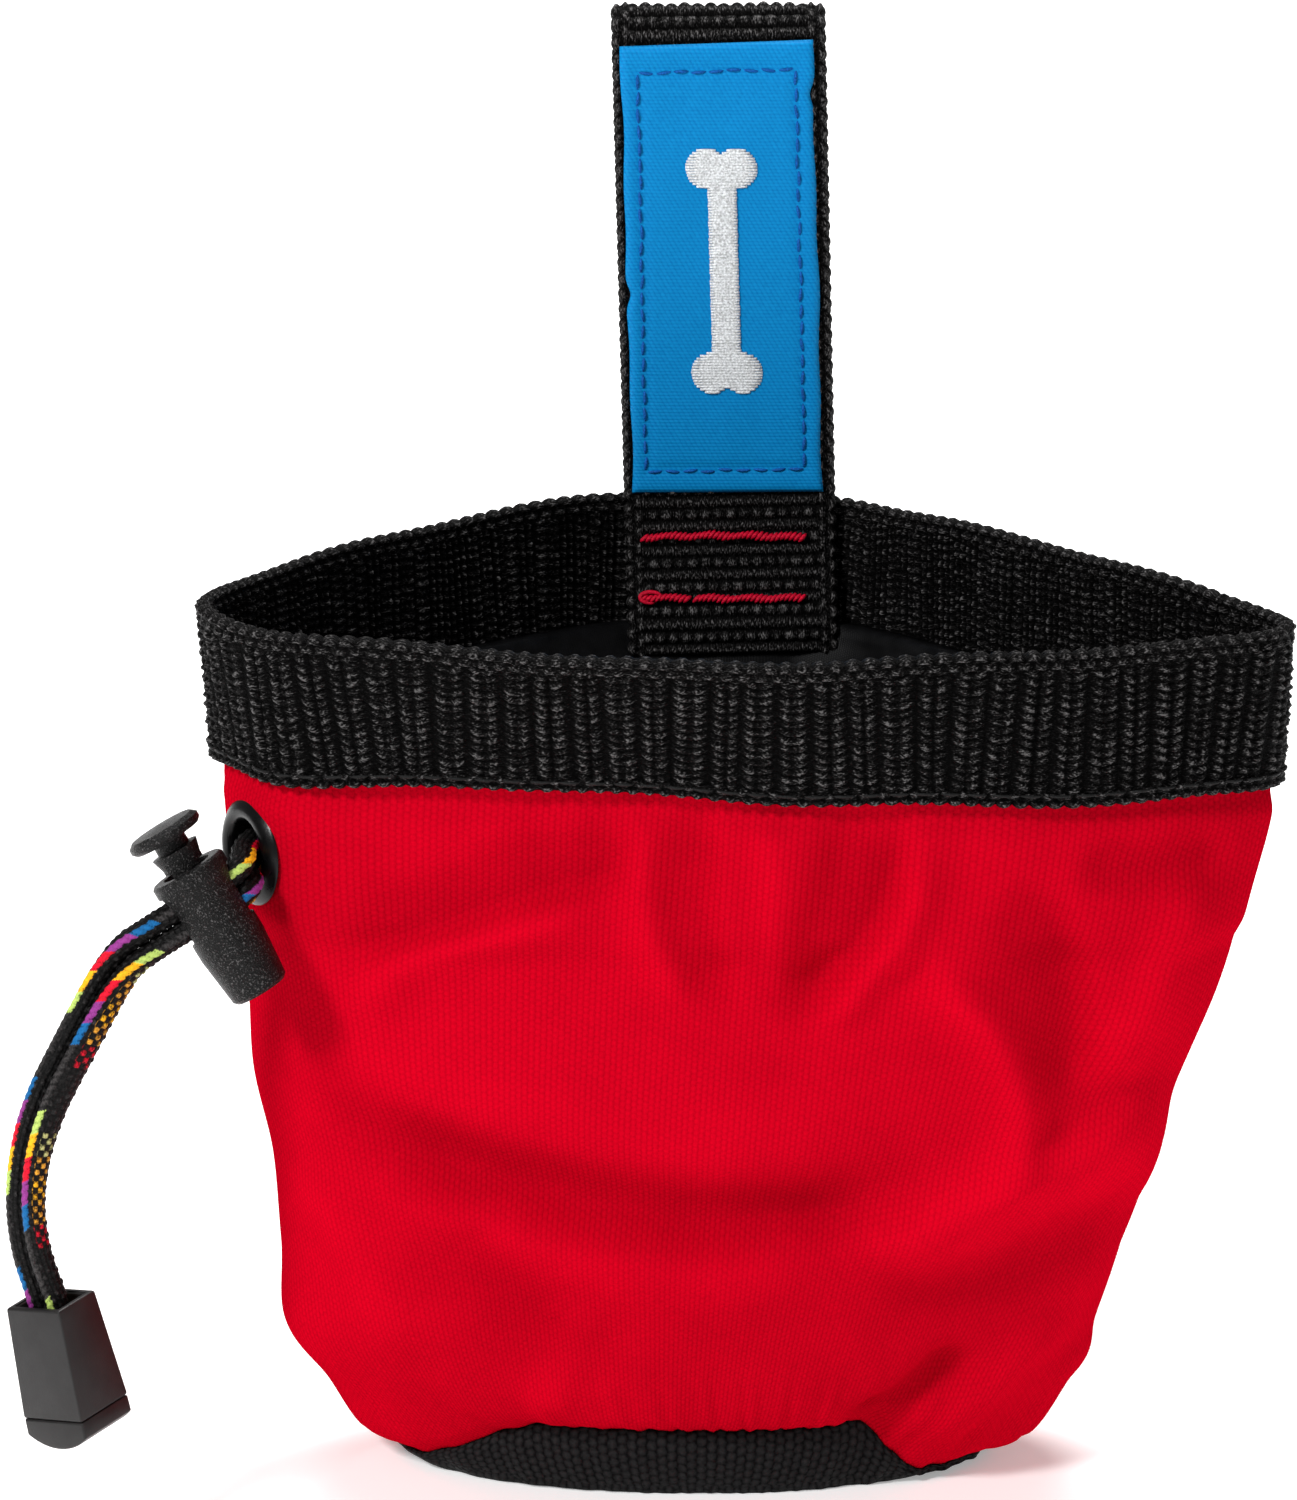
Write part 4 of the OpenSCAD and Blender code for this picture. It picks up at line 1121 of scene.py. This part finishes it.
def bilinear(corners, a, b):
    """A point of a four-cornered panel: a runs to the right and b runs up, 0 to 1."""
    low = np.array(corners[0]) * (1 - a) + np.array(corners[1]) * a
    high = np.array(corners[3]) * (1 - a) + np.array(corners[2]) * a
    return low * (1 - b) + high * b


def make_label(strap, material):
    columns, rows = 70, 150
    a, b = np.meshgrid(np.linspace(0, 1, columns), np.linspace(0, 1, rows))
    flat = bilinear(LABEL_CORNERS, a[..., None], b[..., None])
    x, z = flat[..., 0], flat[..., 1]
    edge_x = np.minimum(a, 1 - a) * LABEL_SIZE[0]
    edge_z = np.minimum(b, 1 - b) * LABEL_SIZE[1]
    rim = np.minimum(edge_x, edge_z)
    side = np.sign(a - 0.5) * (np.abs(a - 0.5) * 2) ** 6
    x = x + side * (0.10 * np.sin(z / 2.1) + 0.10 * np.sin(z / 5.3 + 1.0))
    x = x - 0.5 * np.clip(side, 0, 1) * np.exp(-((z - 159.5) / 1.2) ** 2)
    x = x + 0.6 * np.clip(-side, 0, 1) * np.exp(-((z - 135) / 1.3) ** 2)
    inner = np.abs(np.minimum(np.minimum(edge_x - 2.1, edge_z - 3.0), 9))
    puff = 0.16 * smoothstep(0.0, 1.2, inner) + 0.07 * waves(x, z, 61, longest=20, shortest=5)
    roll = np.sqrt(np.clip(1 - (1 - np.clip(rim / 0.45, 0, 1)) ** 2, 0, 1))
    lift = 0.12 + 0.34 * roll + puff * smoothstep(0, 1, rim)
    top = on_strap(strap, z, x, lift)
    under = on_strap(strap, z, x, np.full(x.shape, 0.05))
    quads, corners = grid_faces(rows, columns)
    count = rows * columns
    loop = np.concatenate([np.arange(columns - 1), np.arange(rows - 1) * columns + columns - 1,
                           count - 1 - np.arange(columns - 1),
                           (np.arange(rows - 1)[::-1] + 1) * columns])
    after = np.roll(loop, -1)
    skirt = np.stack([loop, loop + count, after + count, after], axis=1)
    uv_grid = np.stack([x, z], axis=-1).reshape(-1, 2)
    points = np.concatenate([top.reshape(-1, 3), under.reshape(-1, 3)])
    both_uv = np.concatenate([uv_grid, uv_grid])
    faces = [quads, quads[:, ::-1] + count, skirt]
    label = make_piece("label_cloth", points, faces, [material],
                       uv=[both_uv[f] for f in faces])
    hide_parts("label_patch")
    blend_with_loop(label)


def make_label_stitches(strap, material):
    pitch, length, wobble = 2.05, 1.75, 0.16
    starts, ends = [], []
    for k in range(4):
        a, b = np.array(STITCH_CORNERS[k]), np.array(STITCH_CORNERS[(k + 1) % 4])
        span = np.linalg.norm(b - a)
        along = (b - a) / span
        off = np.array([-along[1], along[0]])
        for i in range(int(round(span / pitch))):
            first = a + along * (i + 0.1) * span / round(span / pitch)
            starts.append(first + off * RNG.uniform(-wobble, wobble))
            ends.append(first + along * length + off * RNG.uniform(-wobble, wobble))
    starts, ends = np.array(starts), np.array(ends)
    p, q = (on_strap(strap, place[:, 1], place[:, 0], np.full(len(place), 0.40))
            for place in (starts, ends))
    outward = np.broadcast_to([0.0, -1, 0], p.shape)
    lines = stitch_lines(p, q, outward, 0.24)
    points, faces = tubes(lines, thread_radii(9, 0.19), 8, ups=np.broadcast_to(
        [0.0, -1, 0.001], lines.shape) * 1.0)
    piece = make_piece("label_thread", points, faces, [material])
    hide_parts("label_stitching")
    blend_with_loop(piece)


def bone_spans(z, length, width):
    """Spans [left, right] of a plain bone's outline at distance z from its middle."""
    knob, shaft = width * 0.29, width * 0.2
    off = width / 2 - knob
    d = abs(z) - (length / 2 - knob)
    if abs(d) >= knob:
        return [(-shaft, shaft)]
    half = math.sqrt(knob ** 2 - d ** 2)
    if half >= off or d < 0:
        return [(-off - half, off + half)]
    return [(-off - half, -off + half), (off - half, off + half)]


def make_bone(strap, material):
    """A generic bone in satin stitch: thread beside thread, from edge to edge."""
    low, high = (np.array(c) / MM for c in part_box("label_bone"))
    length, width = high[2] - low[2], 8.6
    middle = (low + high) / 2
    starts, ends = [], []
    for z in np.arange(-length / 2 + 0.15, length / 2, 0.34):
        for left, right in bone_spans(z, length, width):
            if right - left > 0.5:
                x = middle[0] - 0.03 * z
                starts.append([x + left + RNG.uniform(-0.05, 0.05), middle[2] + z])
                ends.append([x + right + RNG.uniform(-0.05, 0.05), middle[2] + z])
    starts, ends = np.array(starts), np.array(ends)
    t = np.linspace(0, 1, 13)[None, :, None]
    flat = starts[:, None] * (1 - t) + ends[:, None] * t
    arch = np.sin(np.pi * t[..., 0]) ** 0.4
    lines = on_strap(strap, flat[..., 1], flat[..., 0], 0.72 + 0.14 * arch)
    radii = 0.21 * np.clip(np.sin(np.pi * np.linspace(0, 1, 13)), 0.25, 1) ** 0.25
    points, faces = tubes(lines, radii, 8, flat=0.6)
    piece = make_piece("label_motif", points, faces, [material])
    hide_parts("label_bone")
    blend_with_loop(piece)


def make_bartack(strap, name, node, z, bow, gaps, loop, material):
    """A satin-stitched bar of red thread on both faces of the strap's sewn tails."""
    low, high = (np.array(c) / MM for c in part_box(node))
    left, right = low[0], high[0]
    pitch = 0.58
    x = np.arange(left + 0.5, right - 0.1, pitch)
    t = (x - left) / (right - left)
    keep = np.ones(len(x), bool)
    for a, b in gaps:
        keep &= (t < a) | (t > b)
    height = z + bow * np.sin(np.pi * t) + 0.12 * np.sin(x * 1.3)
    half = 0.46 + 0.08 * jitter(len(x), 71)
    lean = 0.46
    front_low = np.column_stack([x - lean, height - half])[keep]
    front_high = np.column_stack([x + lean, height + half])[keep]
    span = np.linspace(0, 1, 9)[None, :, None]
    flat = front_low[:, None] * (1 - span) + front_high[:, None] * span
    arch = np.sin(np.pi * span[..., 0]) ** 0.5
    front = on_strap(strap, flat[..., 1], flat[..., 0], 0.05 + 0.5 * arch)
    back_y = high[1] - 0.35
    back = np.stack([flat[..., 0], back_y + 0.42 * arch + 0 * flat[..., 0], flat[..., 1]], axis=-1)
    lines = np.concatenate([front, back])
    points, faces = tubes(lines, thread_radii(9, 0.27), 8)
    if loop:
        turn = np.linspace(0, 1.6 * np.pi, 25)
        ring = np.column_stack([left + 1.3 + 1.3 * np.cos(turn), z + 0.75 * np.sin(turn)])
        line = on_strap(strap, ring[:, 1], ring[:, 0], np.full(25, 0.62))[None]
        more, more_faces = tubes(line, thread_radii(25, 0.27), 8)
        faces = [np.concatenate([f, m + len(points)]) for f, m in zip(faces, more_faces)]
        points = np.concatenate([points, more])
    piece = make_piece(name, points, faces, [material])
    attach(piece, "pouch")
    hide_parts(node)


# ---------------------------------------------------------------- hardware
def eyelet_frame():
    low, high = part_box("eyelet_washer")
    axis = unit([math.cos(math.radians(212)), math.sin(math.radians(212)), 0])
    washer = (np.array(low) + np.array(high)) / 2 / MM
    return washer + axis * 3.0, axis


def make_eyelet(place, axis, material):
    inner = EYELET_HOLE
    dome = [[inner + 0.55, 0.42], [EYELET_R - 0.12, 0.42], [EYELET_R, 0.5], [EYELET_R - 0.02, 0.62],
            [EYELET_R - 0.25, 0.86], [EYELET_R - 0.7, 1.22], [EYELET_R - 1.25, 1.5],
            [EYELET_R - 1.75, 1.55], [inner + 0.32, 1.38], [inner + 0.1, 1.05], [inner, 0.6],
            [inner, -1.0], [inner, -3.15], [inner + 0.3, -3.3], [inner + 0.55, -3.2],
            [inner + 0.55, -1.0]]
    profile = catmull(dome, 3, closed=True)
    points, faces = revolve(profile, place, axis)
    piece = make_piece("eyelet_ring", points, faces, [material], flip=True)
    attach(piece, "pouch")
    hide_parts("eyelet_flange")


def dress_node(node, material, bevel=0.0, segments=3):
    """A CAD node keeps its shape; its edges are softened and it gets its material."""
    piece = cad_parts[node]
    piece.data.materials.clear()
    piece.data.materials.append(material)
    if bevel:
        weld = piece.modifiers.new("weld", "WELD")
        weld.merge_threshold = 0.002 * MM
        modifier = piece.modifiers.new("bevel", "BEVEL")
        modifier.width = bevel * MM
        modifier.segments = segments
        modifier.limit_method = "ANGLE"
        modifier.angle_limit = math.radians(28)
        modifier.harden_normals = False
        for face in piece.data.polygons:
            face.use_smooth = True


def make_stage():
    half, z = 3.0, 0.0
    mesh = bpy.data.meshes.new("floor")
    mesh.from_pydata([(-half, -half, z), (half, -half, z), (half, half, z), (-half, half, z)],
                     [], [(0, 1, 2, 3)])
    floor = bpy.data.objects.new("floor", mesh)
    g = Graph("pale_floor", (0.93, 0.93, 0.93), 0.8, Emission_Strength=0.3)
    mesh.materials.append(g.material)
    bpy.context.scene.collection.objects.link(floor)


make_camera()
make_lights()
make_stage()
make_cords()

webbing = webbing_material()
black_thread = thread_material("black_thread", (0.012, 0.012, 0.012))
band = make_band(webbing)
make_band_stitches(*band, black_thread)

eyelet_place, eyelet_axis = eyelet_frame()
shell_points = make_shell(shell_material(), eyelet_place, eyelet_axis)
base_side = make_base(shell_points, base_material())
make_linings(shell_points, base_side, lining_material())

strap = make_strap(webbing)
make_label(strap, label_material())
make_label_stitches(strap, thread_material("blue_thread", (0.006, 0.11, 0.42)))
make_bone(strap, thread_material("white_thread", (0.80, 0.82, 0.84)))
red_thread = thread_material("red_thread", (0.60, 0.004, 0.03))
make_bartack(strap, "bartack_thread_upper", "bartack_upper", 105.0, 0.25, [], False, red_thread)
make_bartack(strap, "bartack_thread_lower", "bartack_lower", 97.5, -0.1, [(0.30, 0.34)], True,
             red_thread)

paint = gloss_paint_material()
make_eyelet(eyelet_place, eyelet_axis, paint)
dress_node("eyelet_washer", paint, 0.12)
dress_node("drawcord_loop", bpy.data.materials["black_yarn"])
eroded = eroded_plastic_material()
dress_node("cord_lock_barrel", eroded, 0.22)
dress_node("cord_lock_plunger", eroded, 0.22)
dress_node("cord_lock_spring", steel_material())
satin = satin_plastic_material()
dress_node("cord_end_sleeve", satin, 0.3)
dress_node("cord_end_cap", satin, 0.3)
